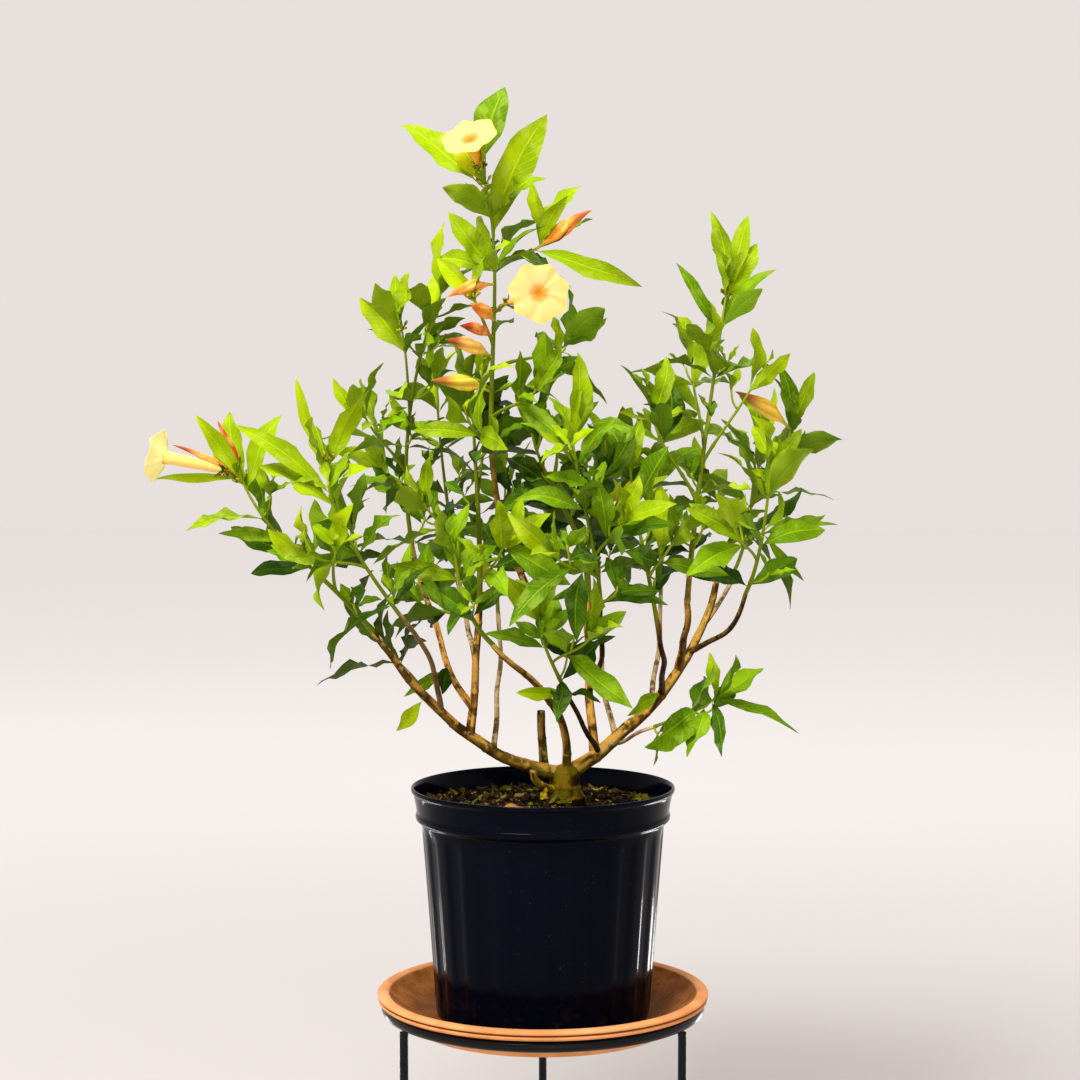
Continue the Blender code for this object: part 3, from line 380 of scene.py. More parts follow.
def put_joined(name, shapes, labels, finish, slot, nodes=(), sharp=None):
    """Put many shapes as one piece; each is (points, face sets, then one value for each label)."""
    sets, offset = {}, 0
    for points, face_sets, *_ in shapes:
        for faces in face_sets:
            sets.setdefault(faces.shape[1], []).append(faces + offset)
        offset += len(points)
    points = np.vstack([shape[0] for shape in shapes])
    face_sets = [np.vstack(faces) for faces in sets.values()]
    values = dict(zip(labels, map(np.concatenate, zip(*(shape[2:] for shape in shapes)))))
    put_piece(name, points, face_sets, finish, slot, nodes, values, sharp=sharp)
    print(name, "points:", offset)


studio = Finish("studio_floor", 0.9, Specular_IOR_Level=0.0)
far = studio.vector("LENGTH", studio.place(), output="Value")
fading = studio.layers((0.56, 0.535, 0.52), (studio.step(far, 0.5, 4.5), (0.98, 0.98, 0.98)))
studio.feed(fading, "Base Color")
FLOOR_POINTS, FLOOR_REACH = 7, 14
reach = np.linspace(-FLOOR_REACH, FLOOR_REACH, FLOOR_POINTS)
floor_points = np.stack(np.meshgrid(reach, reach, [0.0], indexing="ij"), axis=-1).reshape(-1, 3)
put_piece("studio_floor", floor_points, outward([grid(FLOOR_POINTS, FLOOR_POINTS, False)]), studio, None)
print("floor:", len(floor_points), "points")

# %% [markdown]
# ## The ring stand
#
# The stand is a ring of round steel rod on three legs, painted gloss black. Each foot wears a short
# cap. A torus and three cylinders could be used as they come, but a turned leg gets its cap and its
# softened edge in one profile, and the ring's grid can be as fine as its highlight needs.

# %% Gloss black paint
paint = Finish("stand_steel", 0.2, Specular_IOR_Level=0.18)
speck = paint.patches(900, 2, 0.66, 0.74)
paint.feed(paint.layers((0.0022, 0.0024, 0.0034), (speck, (0.016, 0.016, 0.018))), "Base Color")
paint.feed(0.10 + 0.16 * paint.noise(60, 3), "Roughness")
paint.bump(paint.noise(420, 2), 0.25, 0.0004)

# %% Ring and legs
def ring_of_rod(radius, rod, height, around=160, sides=20):
    """A torus: the rod's circle of angle b, carried round the axis by angle a."""
    a, b = np.meshgrid(angles_round(around), angles_round(sides), indexing="ij")
    out = radius + rod * np.cos(b)
    points = np.stack((out * np.cos(a), out * np.sin(a), height + rod * np.sin(b)), axis=-1)
    return points.reshape(-1, 3), grid(around + 1, sides, True) % (around * sides)


AROUND_LEG = 24
rod = (ring_high[2] - ring_low[2]) / 2
ring_radius = (ring_high[0] - ring_low[0]) / 2 - rod
points, quads = ring_of_rod(ring_radius, rod, RING_Z)
points = points + (AXIS[0], AXIS[1], 0)
put_piece("stand_ring_rod", points, outward([quads]), paint, "stand_steel", ["stand_ring"])
LEG_PROFILE = np.array((
    (0, 0), (53, 0), (62, 5), (65, 15), (65, 148), (61, 158), (48, 162), (45, 175), (45, 1500),
    (45, 2175), (0, 2178),
)) / 10000
for number in (1, 2, 3):
    low, high = (np.array(corner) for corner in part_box(f"stand_leg_{number}"))
    points, faces = turn(LEG_PROFILE, AROUND_LEG)
    foot = (low + high) / 2 * (1, 1, 0)
    put_piece(f"stand_leg_rod_{number}", points + foot, faces, paint, "stand_steel",
              [f"stand_leg_{number}"], sharp=50)
print("ring radius:", round(ring_radius, 4), "rod:", round(rod, 4))

# %% [markdown]
# ## The saucer
#
# The saucer is thrown or pressed terracotta, with a lip of two round beads. Water stands in it and
# marks its inside with brown rings and specks; the inside is also painted darker as shade, most of
# all in the narrow gap round the pot's foot and in the groove between the beads, while the lip stays
# a clean orange. It is turned from one profile; a slow wave in the radius keeps it from looking
# machined.

# %% Terracotta
clay = Finish("terracotta", 0.82, Specular_IOR_Level=0.08)
inside = 1 - clay.step(clay.value("wall"), 0.2, 0.5)
clouds = clay.noise(28, 4)
clean = clay.layers(
    (0.80, 0.335, 0.120),
    (clay.step(clouds, 0.35, 0.68), (0.64, 0.250, 0.082)),
    (0.5 * clay.patches(11, 3, 0.5, 0.7), (0.88, 0.45, 0.20)))
from_axis = clay.vector("MULTIPLY_ADD", clay.place(), (1, 1, 0), (-AXIS[0], -AXIS[1], 0))
away = clay.vector("LENGTH", from_axis, output="Value")
# Inside: water stains and painted shade, darkest as painted shade in the gap round the pot's foot
inside_stain_and_shade = clay.layers(
    (0.37, 0.122, 0.022),
    (0.8 * clay.patches(46, 5, 0.40, 0.68, rough=0.65), (0.17, 0.052, 0.007)),
    (0.62 * (1 - clay.step(away, 0.122, 0.150)), (0.060, 0.018, 0.004)))
clay.feed(clay.layers(
    clean,
    (inside, inside_stain_and_shade),
    (clay.patches(130, 3, 0.68, 0.73) * (0.12 + 0.75 * inside), (0.045, 0.022, 0.014)),
    # painted shade in the groove between the lip's two beads
    (0.85 * (1 - clay.step(clay.value("groove"), 0.2, 1.0)), (0.20, 0.055, 0.016)),
    (0.3 * clay.patches(85, 4, 0.64, 0.72, rough=0.7) * (1 - inside), (0.84, 0.60, 0.44))), "Base Color")
clay.feed(0.62 + 0.3 * clouds, "Roughness")
clay.bump(clay.noise(260, 4) + 2.5 * clay.noise(40, 2), 0.35, 0.0012)

# %% Saucer
SAUCER = np.array((
    (0, 110), (600, 110), (1180, 111), (1270, 122), (1340, 152), (1560, 294), (1595, 325),
    (1635, 358), (1675, 368), (1712, 368), (1742, 352), (1752, 336), (1746, 322), (1722, 316),
    (1712, 312), (1712, 306), (1738, 301), (1744, 290), (1740, 272), (1722, 258), (1600, 253),
    (1580, 246), (1563, 215), (1402, 30), (1375, 3), (1340, 0), (600, 0), (0, 0),
)) / 10000
saucer_profile = rounded(SAUCER)


def hand_wave(angle, radius, height):
    """A slow wave round the saucer, less than half a millimetre at its lip."""
    return 0.0004 * (radius / 0.175) * (np.sin(2 * angle + 0.6) + 0.5 * np.sin(5 * angle)) * (height > 0.012)


AROUND_SAUCER = 192
GROOVE_HEIGHT, GROOVE_HALF = 0.0309, 0.0011
points, faces = turn(saucer_profile, AROUND_SAUCER, hand_wave)
radius, height = saucer_profile[1:-1].T
wall = np.clip((np.arange(len(height)) - (np.argmax(height) - 9)) / 8.0, 0, 1)
groove = np.where(radius > 0.170, np.abs(height - GROOVE_HEIGHT) / GROOVE_HALF, 1.0)
points = points + (AXIS[0], AXIS[1], saucer_low)
marks = {"wall": per_point(wall, AROUND_SAUCER, [0, 1]), "groove": per_point(groove, AROUND_SAUCER, [1, 1])}
put_piece("saucer_clay", points, faces, clay, "terracotta", ["saucer"], marks)
print("saucer:", len(points), "points, lip", round(float(points[:, 2].max()), 4))

# %% [markdown]
# ## The nursery pot
#
# A nursery pot is blow-moulded from thin black plastic. Its wall has shallow upright flutes, which
# show as streaks of light near the sides, below a stepped collar and a rolled lip. The flutes
# could be cut with a Boolean, but they are only a small change of the radius with the angle, so
# they are written into the turned surface. They fade out at the collar and near the base.

# %% Black plastic
plastic = Finish("pot_plastic", 0.3, Specular_IOR_Level=0.045)
scuff = plastic.patches(34, 5, 0.60, 0.80, stretch=(1, 1, 0.25), rough=0.7)
splash = (1 - plastic.step(plastic.part(plastic.place(), 2), 0.22, 0.27)) * plastic.patches(70, 4, 0.5, 0.68)
plastic.feed(plastic.layers(
    (0.0006, 0.0013, 0.0048),
    (0.4 * scuff, (0.0040, 0.0054, 0.011)),
    (0.25 * splash, (0.026, 0.018, 0.012)),
    (0.30 * plastic.patches(360, 2, 0.71, 0.76), (0.06, 0.058, 0.06))), "Base Color")
plastic.feed(0.09 + 0.08 * plastic.noise(22, 3) + 0.20 * scuff, "Roughness")
plastic.bump(plastic.noise(16, 2) + 0.12 * plastic.noise(240, 2), 0.18, 0.002)

# %% Pot
FLUTES, FLUTE_DEPTH = 20, 0.0017
AROUND_POT = 240
POT_OUT = np.array((
    (1375, -2), (1392, 0), (1400, -12), (1400, -38), (1390, -52), (1376, -65), (1352, -170),
    (1337, -255), (1338, -272), (1347, -285), (1349, -310), (1345, -335), (1325, -352),
    (1290, -368), (1280, -395), (1272, -500), (1240, -900), (1205, -1350), (1168, -1850),
    (1138, -2280), (1130, -2380), (1120, -2412), (1095, -2420), (900, -2414), (0, -2414),
)) / 10000
POT_IN = np.array((
    (0, -2398), (1080, -2398), (1105, -2380), (1180, -1500), (1257, -385), (1315, -335),
    (1315, -275), (1360, -60), (1375, -2),
)) / 10000


def flutes(angle, radius, height):
    """Shallow grooves: the radius dips where a cosine of the angle is low, between collar and base."""
    below = -height
    fade = np.clip((below - 0.040) / 0.012, 0, 1) * np.clip((0.236 - below) / 0.014, 0, 1)
    dip = np.clip(0.35 - np.cos(FLUTES * angle + 0.6), 0, 1)
    oval = 0.0009 * np.cos(2 * angle + 0.5) * (below < 0.05) * np.clip((0.05 - below) / 0.05, 0, 1)
    return -FLUTE_DEPTH * fade * dip * (radius > 0.105) - np.abs(oval)


pot_profile = np.vstack((rounded(POT_IN, 1)[:-1], rounded(POT_OUT, 2)))
points, faces = turn(pot_profile, AROUND_POT, flutes)
put_piece("pot_shell", points + RIM, outward(faces), plastic, "pot_plastic", ["pot"])
print("pot:", len(points), "points,", FLUTES, "flutes")

# %% [markdown]
# ## Potting mix
#
# The mix is dark, moist and crumbly, with bits of bark, tan chips and patches of moss. Its lumps are
# real relief near the eye, made by adding a few waves and a seeded scatter of mounds. The chips
# are small uneven blocks, all worked out at once: one cube's corners, stretched, turned and placed.

# %% Soil colours
potting_mix = Finish("potting_mix", 0.9, Specular_IOR_Level=0.05)
grain = potting_mix.noise(260, 5, rough=0.7)
moss = potting_mix.patches(30, 4, 0.58, 0.68) * potting_mix.step(grain, 0.42, 0.56)
potting_mix.feed(potting_mix.layers(
    (0.005, 0.0030, 0.0012),
    (potting_mix.step(grain, 0.42, 0.68), (0.034, 0.018, 0.005)),
    (0.7 * moss, (0.110, 0.110, 0.004))), "Base Color")
potting_mix.feed(0.70 + 0.28 * grain, "Roughness")
potting_mix.bump(grain + 0.6 * potting_mix.noise(620, 3), 0.9, 0.003)

chip_bark = Finish("soil_bits", 0.85, Specular_IOR_Level=0.05)
shade = chip_bark.value("tone")
chip_bark.feed(chip_bark.layers(
    (0.006, 0.0032, 0.0012),
    (chip_bark.step(shade, 0.15, 0.75), (0.062, 0.032, 0.008)),
    (chip_bark.step(shade, 0.76, 0.90), (0.50, 0.32, 0.085)),
    (chip_bark.step(shade, 0.90, 0.92), (0.17, 0.18, 0.006))), "Base Color")
chip_bark.bump(chip_bark.noise(500, 3), 0.6, 0.001)

# %% Soil surface and chips
def waves(points, seed, length, count=6):
    """Soft noise: a few sine waves of about one wavelength in seeded directions, averaged."""
    dealer = np.random.default_rng(seed)
    axes = dealer.normal(size=(count, 3))
    axes *= (math.tau / length / np.linalg.norm(axes, axis=1) * dealer.uniform(0.7, 1.4, count))[:, None]
    return np.sin(points @ axes.T + dealer.uniform(0, math.tau, count)).mean(axis=-1)


def soil_height(x, y):
    """Height of the mix from the rim: level in the middle, falling to the wall, with lumps."""
    radius = np.hypot(x, y)
    fall = -0.0165 - 0.0050 * np.clip((radius - 0.062) / 0.07, 0, 1)
    flat = np.stack((x, y, 0 * x), axis=-1)
    lumps = 0.0016 * waves(flat, 3, 0.030) + 0.0012 * waves(flat, 4, 0.012) + 0.0007 * waves(flat, 5, 0.006)
    return fall + lumps * np.clip((0.130 - radius) / 0.02, 0, 1)


SOIL_EDGE, SOIL_RINGS, AROUND_SOIL = 0.1313, 60, 120
shares = np.linspace(0, 1, SOIL_RINGS)[1:]
soil_profile = [(0.0, 0.0), *((SOIL_EDGE * share, 0.0) for share in shares)]
soil_profile += [(0.1308, -0.0285), (0.1250, -0.0400), (0.1180, -0.1400), (0.1098, -0.2385), (0.0, -0.2390)]
points, faces = turn(soil_profile, AROUND_SOIL)
top = points[:, 2] > -0.001
points[top, 2] = soil_height(points[top, 0], points[top, 1])
put_piece("soil_mix", points + RIM, outward(faces), potting_mix, "potting_soil", ["soil"])

BITS, BITS_REACH, BIT_SIZE = 2400, 0.127, 0.0013
CUBE = np.array([(x, y, z) for x in (-1, 1) for y in (-1, 1) for z in (-1, 1)], float)
CUBE_QUADS = np.array(((0, 1, 3, 2), (4, 6, 7, 5), (0, 4, 5, 1), (2, 3, 7, 6), (0, 2, 6, 4), (1, 5, 7, 3)))


def scatter_bits(count, seed):
    """Uneven blocks on the mix: a cube's corners, jittered, scaled, turned flat-ish and placed."""
    dealer = np.random.default_rng(seed)
    radius = BITS_REACH * np.sqrt(dealer.uniform(0.0, 1, count))
    angle = dealer.uniform(0, math.tau, count)
    x, y = radius * np.cos(angle), radius * np.sin(angle)
    size = dealer.lognormal(math.log(BIT_SIZE), 0.50, (count, 1))
    size = np.clip(size * dealer.uniform((0.6, 0.5, 0.25), (2.3, 1.2, 0.7), (count, 3)), 0.0004, 0.0055)
    corners = CUBE + dealer.uniform(-0.38, 0.38, (count, 8, 3))
    lean = dealer.normal(0, 0.35, (count, 2))
    turn_z = dealer.uniform(0, math.tau, count)[:, None]
    long, wide, tall = np.moveaxis(corners * size[:, None, :], -1, 0)
    tall = tall + (lean[:, :1] * long + lean[:, 1:] * wide)
    c, s = np.cos(turn_z), np.sin(turn_z)
    bits = np.stack((c * long - s * wide, s * long + c * wide, tall), axis=-1)
    place = np.stack((x, y, soil_height(x, y) + 0.3 * size[:, 2]), axis=-1)
    points = (bits + place[:, None, :]).reshape(-1, 3)
    quads = (CUBE_QUADS[None] + 8 * np.arange(count)[:, None, None]).reshape(-1, 4)
    return points, quads, np.repeat(dealer.uniform(0, 1, count), 8)


points, quads, tone = scatter_bits(BITS, 8)
put_piece("soil_bits", points + RIM, [quads], chip_bark, "potting_soil", values={"tone": tone}, sharp=30)
print("soil bits:", len(quads) // 6)

# %% [markdown]
# ## Limbs that fork
#
# The plant has a short trunk that flares at the soil, and limbs that leave it low and lean out
# before they rise. Each limb is a smooth curve between two places, with a direction at each end, so
# a fork's angle is given by two short vectors. Each one starts part of the way along the limb
# that bears it. The same table gives the solids their limbs; here each one also wanders a couple of
# millimetres to the side, because grown wood is never a clean arc.

# %% Table of limbs
TRUNK_FOOT = (0.023, 0.018, -0.0175)
TRUNK_TOP = (0.025, 0.018, 0.020)
# Tips in millimetres from the centre of the pot's rim, both radii in tenths of a millimetre.
LIMB_ROWS = (
    ("bough_left", "trunk", 0.70, (-174, -75, 170), (-1.05, -0.1, 0.16), (-0.55, -0.25, 0.8), 74, 29),
    ("bough_right", "trunk", 0.70, (188, 60, 219), (0.85, 0.1, 0.5), (0.15, 0.1, 1), 80, 32),
    ("bough_centre", "bough_right", 0.13, (48, 40, 204), (-0.1, 0.2, 1), (0, 0, 1), 51, 37),
    ("bough_leader", "bough_centre", 0.50, (-24, 0, 226), (-0.7, -0.2, 0.7), (-0.35, 0, 0.9), 47, 37),
    ("bough_left_upright", "bough_left", 0.42, (-67, 5, 197), (0.1, 0.1, 1), (0, 0, 1), 46, 34),
    ("bough_left_inner", "bough_left_upright", 0.20, (-126, 50, 196), (-0.6, 0.3, 0.6),
     (-0.4, 0.1, 1), 38, 28),
    ("bough_left_front", "bough_left", 0.58, (-144, -132, 194), (0, -0.5, 0.7), (-0.6, -0.3, 0.7), 30, 22),
    ("bough_left_back", "bough_left_upright", 0.52, (-100, 172, 240), (-0.1, 0.8, 0.5),
     (-0.1, 0.3, 0.9), 31, 22),
    ("bough_back_left", "bough_left", 0.30, (-50, 145, 172), (0, 0.8, 0.5), (-0.1, 0.4, 0.8), 31, 23),
    ("bough_low_left", "bough_left", 0.66, (-148, -12, 128), (-0.2, 0.8, 0.4), (-0.5, 0.3, 0.6), 22, 19),
    ("bough_centre_left", "trunk", 0.66, (-52, -70, 157), (0.1, -0.5, 1.6), (-0.6, -0.2, 0.8), 48, 27),
    ("bough_right_leader", "bough_right", 0.60, (150, -26, 195), (0, -0.6, 0.8), (-0.1, 0, 1), 43, 32),
    ("bough_right_inner", "bough_right", 0.48, (115, -90, 184), (0, -0.7, 0.6), (-0.2, -0.1, 1), 34, 25),
    ("bough_right_front", "bough_right", 0.68, (206, -82, 210), (0.4, -0.8, 0.3), (0.2, -0.3, 0.9), 31, 23),
    ("bough_right_back", "bough_right", 0.74, (214, 140, 220), (0.1, 0.8, 0.4), (0.2, 0.3, 0.9), 31, 22),
    ("bough_back", "bough_right", 0.24, (64, 160, 166), (-0.2, 0.9, 0.5), (0, 0.4, 0.9), 32, 24),
    ("bough_back_right", "bough_right", 0.42, (132, 158, 190), (0.1, 0.9, 0.5), (0, 0.2, 1), 31, 23),
    ("bough_front", "bough_right", 0.15, (19, -80, 118), (-0.2, -0.8, 0.6), (-0.3, -0.3, 0.8), 30, 22),
    ("bough_front_high", "bough_centre", 0.40, (58, -105, 196), (0.3, -0.9, 0.4), (0, -0.3, 0.9), 30, 22),
    ("bough_low_right", "bough_right", 0.20, (112, -115, 78), (0.2, -0.9, 0.05), (0.8, -0.2, 0.3), 23, 18),
    ("cut_stub", "trunk", 0.45, (-2, 50, 73), (-1, 1, 0.2), (0, 0, 1.5), 48, 43),
    ("low_stub", "trunk", 0.25, (-10, -12, 18), (-1, -0.6, 0), (0, 0, 1.2), 46, 40),
)
Limb = namedtuple("Limb", "name parent at tip leave arrive thick thin")
LIMBS = [Limb(*row, thick / 10000, thin / 10000) for *row, thick, thin in LIMB_ROWS]
by_name = {limb.name: limb for limb in LIMBS}
print("limbs in the table:", len(LIMBS))

# %% Curves
LOOK_AHEAD = 0.002


def from_rim(place):
    """A place given in millimetres from the centre of the pot's rim."""
    return np.array(place) / 1000 + RIM


def unit(vector):
    """A vector of length one."""
    return np.asarray(vector, float) / np.linalg.norm(vector)


def square_to(direction, vector):
    """What is left of a vector square to a direction, at length one."""
    return unit(vector - (vector @ direction) * direction)


def sweep(start, tip, leave, arrive, samples=25):
    """A cubic from start to tip, whose end directions pull by their own length times the distance."""
    start, tip = np.asarray(start, float), np.asarray(tip, float)
    reach = np.linalg.norm(tip - start)
    pull_start, pull_tip = np.asarray(leave, float) * reach, np.asarray(arrive, float) * reach
    t = np.linspace(0.0, 1.0, samples)[:, None]
    return ((2 * t**3 - 3 * t**2 + 1) * start + (t**3 - 2 * t**2 + t) * pull_start
            + (3 * t**2 - 2 * t**3) * tip + (t**3 - t**2) * pull_tip)


def line_length(line):
    """The length of a line of points."""
    return float(np.linalg.norm(np.diff(line, axis=0), axis=1).sum())


def run_lengths(line):
    """The length of a line up to each of its points."""
    return np.r_[0.0, np.cumsum(np.linalg.norm(np.diff(line, axis=0), axis=1))]


def points_at(line, wanted):
    """The points of a line at wanted lengths along it."""
    return np.stack([np.interp(wanted, run_lengths(line), line[:, axis]) for axis in range(3)], axis=-1)


def at_share(line, share):
    """The point and the direction at a share of a line's length."""
    wanted = np.clip(share, 0.0, 1.0) * run_lengths(line)[-1]
    point, ahead, behind = points_at(line, wanted + np.array((0.0, LOOK_AHEAD, -LOOK_AHEAD)))
    return point, unit(ahead - behind)


def even_points(line, count):
    """Points at even steps along a line."""
    return points_at(line, np.linspace(0, run_lengths(line)[-1], count))


def crooked(line, seed, sway):
    """The line with a slow sideways wave of up to sway, which dies out at both ends."""
    dealer = np.random.default_rng(seed)
    share = np.linspace(0, 1, len(line))[:, None]
    beats = line_length(line) / dealer.uniform(0.075, 0.14, 3)
    wander = np.sin(math.tau * beats * share + dealer.uniform(0, math.tau, 3))
    return line + sway * np.sin(math.pi * share) * wander


SWAY, LIMB_SAMPLES = 0.0013, 61
ruled_limbs = {"trunk": sweep(TRUNK_FOOT + RIM, TRUNK_TOP + RIM, (0, 0, 1), (0, 0, 1))}
lines = dict(ruled_limbs)
for number, limb in enumerate(LIMBS):
    tip, run = from_rim(limb.tip), (limb.leave, limb.arrive)
    ruled_limbs[limb.name] = sweep(at_share(ruled_limbs[limb.parent], limb.at)[0], tip, *run)
    smooth = sweep(at_share(lines[limb.parent], limb.at)[0], tip, *run, LIMB_SAMPLES)
    lines[limb.name] = crooked(smooth, number, SWAY)
print("limbs:", len(lines), "longest:", round(max(line_length(line) for line in lines.values()), 3))

# %% [markdown]
# ## Bark
#
# Young wood of this shrub is smooth and ringed: each place where a whorl of leaves once sat has
# left a raised scar. Lower down the bark splits into long shallow ridges. A tube with a bump map
# would look smooth at its outline, so the ridges and scars are in the tube's radius: a sum of
# waves stretched along the limb, and a narrow bell at each scar. The side of a limb turned away
# from the light is painted darker, as shade, so each point also knows how far it faces the light.

# %% Bark colours
def bark_finish(name, light, dark, lichen, moss=0.45):
    """Bark: dark cracks, pale ridges, specks of lichen, painted shade off the light, and moss near the soil.
    """
    bark = Finish(name, 0.78, Specular_IOR_Level=0.03)
    patch = bark.noise(55, 4)
    near_soil = 1 - bark.step(bark.value("height"), 0.010, 0.050)
    bark.feed(bark.layers(
        dark,
        (bark.step(bark.value("ridge"), 0.24, 0.62), light),
        (0.85 * bark.step(patch, 0.49, 0.61), dark),
        (0.7 * bark.patches(150, 3, 0.60, 0.70), lichen),
        # painted shade: darker on the side that faces away from the light
        (0.9 * (1 - bark.step(bark.value("sunny"), -0.28, 0.40)), dark),
        (moss * (near_soil * bark.patches(75, 3, 0.38, 0.58)), (0.26, 0.22, 0.006))), "Base Color")
    bark.feed(0.6 + 0.3 * patch, "Roughness")
    bark.bump(bark.noise(420, 4, rough=0.65), 0.55, 0.0012)
    return bark


tan_bark = bark_finish("bark_tan", (0.92, 0.50, 0.080), (0.052, 0.022, 0.001), (0.92, 0.66, 0.30))
red_bark = bark_finish("bark_red", (0.84, 0.41, 0.070), (0.050, 0.019, 0.001), (0.88, 0.56, 0.22))
pale_bark = bark_finish("bark_pale", (0.72, 0.50, 0.24), (0.10, 0.055, 0.014), (0.86, 0.68, 0.42))
# painted shade: a dark copy of the bark, for the limbs in the crown's shade
shaded_bark = bark_finish("bark_in_shade", (0.28, 0.145, 0.028), (0.018, 0.008, 0.001), (0.42, 0.30, 0.08))
trunk_skin = bark_finish("bark_trunk", (0.34, 0.195, 0.010), (0.008, 0.004, 0.001), (0.38, 0.30, 0.012), 0.55)

# %% Tubes along lines
def tube_frames(line):
    """Two directions square to a line at each of its points, turned as little as possible.

    The first comes from a fixed hint; each next one is the last, made square to the new heading.
    """
    headings = np.gradient(line, axis=0)
    headings /= np.linalg.norm(headings, axis=1)[:, None]
    hint = np.array((0.31, 0.95, 0.07))
    if abs(headings[0] @ hint) > 0.9:
        hint = np.array((1.0, 0.1, 0.0))
    sides = np.empty_like(line)
    for index, heading in enumerate(headings):
        sides[index] = hint = square_to(heading, hint)
    return sides, np.cross(headings, sides)


def tube(line, radii, around, relief=None, frames=None):
    """A closed tube: point = line + radius * (1 + relief) * (cos a * side + sin a * up), with two
    end points. Gives points, face sets, and the relief at every point. A line that turns back on
    itself needs its frames given."""
    sides, ups = (frame[:, None, :] for frame in frames or tube_frames(line))
    angles = angles_round(around)[None, :, None]
    ring = np.cos(angles) * sides + np.sin(angles) * ups
    rough = np.zeros((len(line), around)) if relief is None else relief
    points = line[:, None, :] + (np.asarray(radii)[:, None] * (1 + rough))[..., None] * ring
    points = np.vstack((points.reshape(-1, 3), line[:1], line[-1:]))
    faces = outward([grid(len(line), around, True), *fans(around, len(line) * around)])
    return points, faces, np.append(rough, [0, 0])


SUN = np.array((-0.45, -0.35, 0.82))
SCAR_HALF = 0.0016


def sunny_side(line, points, around):
    """How far each point of a tube along a line faces the sun, from -1 to 1."""
    out = points[:-2].reshape(len(line), around, 3) - line[:, None, :]
    out = out / np.linalg.norm(out, axis=2, keepdims=True)
    return np.append(out @ SUN, [0, 0])


def bark_relief(line, around, seed, scars=0.024, depth=1.0):
    """Ridges that run along the limb and ringed scars, as shares of the radius."""
    dealer = np.random.default_rng(seed)
    along = run_lengths(line)
    a, s = np.meshgrid(angles_round(around), along, indexing="xy")
    ridges = sum(np.sin(k * a + dealer.uniform(0, math.tau) + w * s) / k**0.5
                 for k, w in ((2, 40), (3, -65), (5, 90), (6, -150), (7, 210)))
    marks = np.arange(scars * dealer.uniform(0.3, 1), along[-1], scars) + dealer.uniform(-0.006, 0.006)
    bells = sum(np.exp(-((s - mark) / SCAR_HALF) ** 2) * (0.7 + 0.5 * np.sin(3 * a + mark * 900))
                for mark in marks)
    lumps = np.sin(a + 130 * s + dealer.uniform(0, 6)) * 0.02 + np.sin(2 * a - 75 * s) * 0.02
    return depth * (0.022 * ridges + 0.09 * bells + lumps)


print("functions:", tube.__name__, sunny_side.__name__, bark_relief.__name__)

# %% [markdown]
# The limbs share four barks, dealt out one by one: the two heavy limbs are tan, the upright ones
# reddish, the thin outer ones pale, and the ones deep inside the crown dark, as painted shade. Each
# bark's limbs are joined into one mesh. The trunk is its own tube, with three low buttresses that
# run out into the soil.

# %% Limbs and trunk
BARKS = {
    "tan": (tan_bark, ("bough_left", "bough_right", "bough_centre_left", "low_stub")),
    "red": (red_bark, ("bough_left_upright", "bough_centre", "bough_right_leader", "bough_left_inner",
                       "bough_leader")),
    "pale": (pale_bark, ("bough_left_front", "bough_low_right", "bough_low_left", "bough_right_back",
                         "bough_back", "bough_back_left", "bough_left_back", "bough_back_right")),
    # painted shade: the limbs in the crown's shade get the dark bark
    "dark": (shaded_bark, ("bough_right_inner", "bough_right_front", "bough_front", "bough_front_high",
                         "cut_stub")),
}
BARK_VALUES = ("ridge", "height", "sunny")
AROUND_LIMB, LIMB_STEP = 18, 0.0022
COLLAR_SWELL, COLLAR_LENGTH = 0.22, 0.010


def bark_shape(line, radii, around, relief):
    """Points and faces of a tube of bark, then its ridge, its height above the rim and its sunny side."""
    points, faces, ridge = tube(line, radii, around, relief)
    return points, faces, 0.5 + 5 * ridge, points[:, 2] - RIM[2], sunny_side(line, points, around)


def limb_shape(limb, seed):
    """The bark of one limb: a thinning tube with a collar where it leaves its parent."""
    length = line_length(lines[limb.name])
    line = even_points(lines[limb.name], max(12, int(length / LIMB_STEP)))
    share = np.linspace(0, 1, len(line))
    radii = limb.thick + (limb.thin - limb.thick) * share
    radii = radii * (1 + COLLAR_SWELL * np.exp(-share * line_length(line) / COLLAR_LENGTH))
    relief = bark_relief(line, AROUND_LIMB, seed, depth=1.25 if limb.thick > 0.004 else 0.8)
    return bark_shape(line, radii, AROUND_LIMB, relief)


for label, (finish, names) in BARKS.items():
    shapes = [limb_shape(by_name[name], 40 + index) for index, name in enumerate(names)]
    put_joined(f"limbs_{label}", shapes, BARK_VALUES, finish, "bark", names)

TRUNK_RINGS, AROUND_TRUNK = 40, 48
TRUNK_FORM = (
    (0.0, 0.0250), (0.12, 0.0225), (0.3, 0.0190), (0.55, 0.0170), (0.8, 0.0155), (0.93, 0.0120),
    (1.0, 0.0055),
)
trunk_line = even_points(lines["trunk"], TRUNK_RINGS)
share = np.linspace(0, 1, TRUNK_RINGS)
angles = angles_round(AROUND_TRUNK)
buttress = 0.16 * np.exp(-share / 0.25)[:, None] * np.cos(3 * angles + 0.8) ** 3
bulge = 0.10 * np.sin(2 * angles + 1.1) * np.sin(math.pi * share)[:, None]
trunk_bark = bark_relief(trunk_line, AROUND_TRUNK, 77, scars=0.02, depth=0.7)
trunk_relief = np.clip(buttress, -0.02, 1) * 0.6 + bulge + trunk_bark
trunk = bark_shape(trunk_line, np.interp(share, *zip(*TRUNK_FORM)), AROUND_TRUNK, trunk_relief)
put_joined("trunk_bark", [trunk], BARK_VALUES, trunk_skin, "bark", ["trunk"])

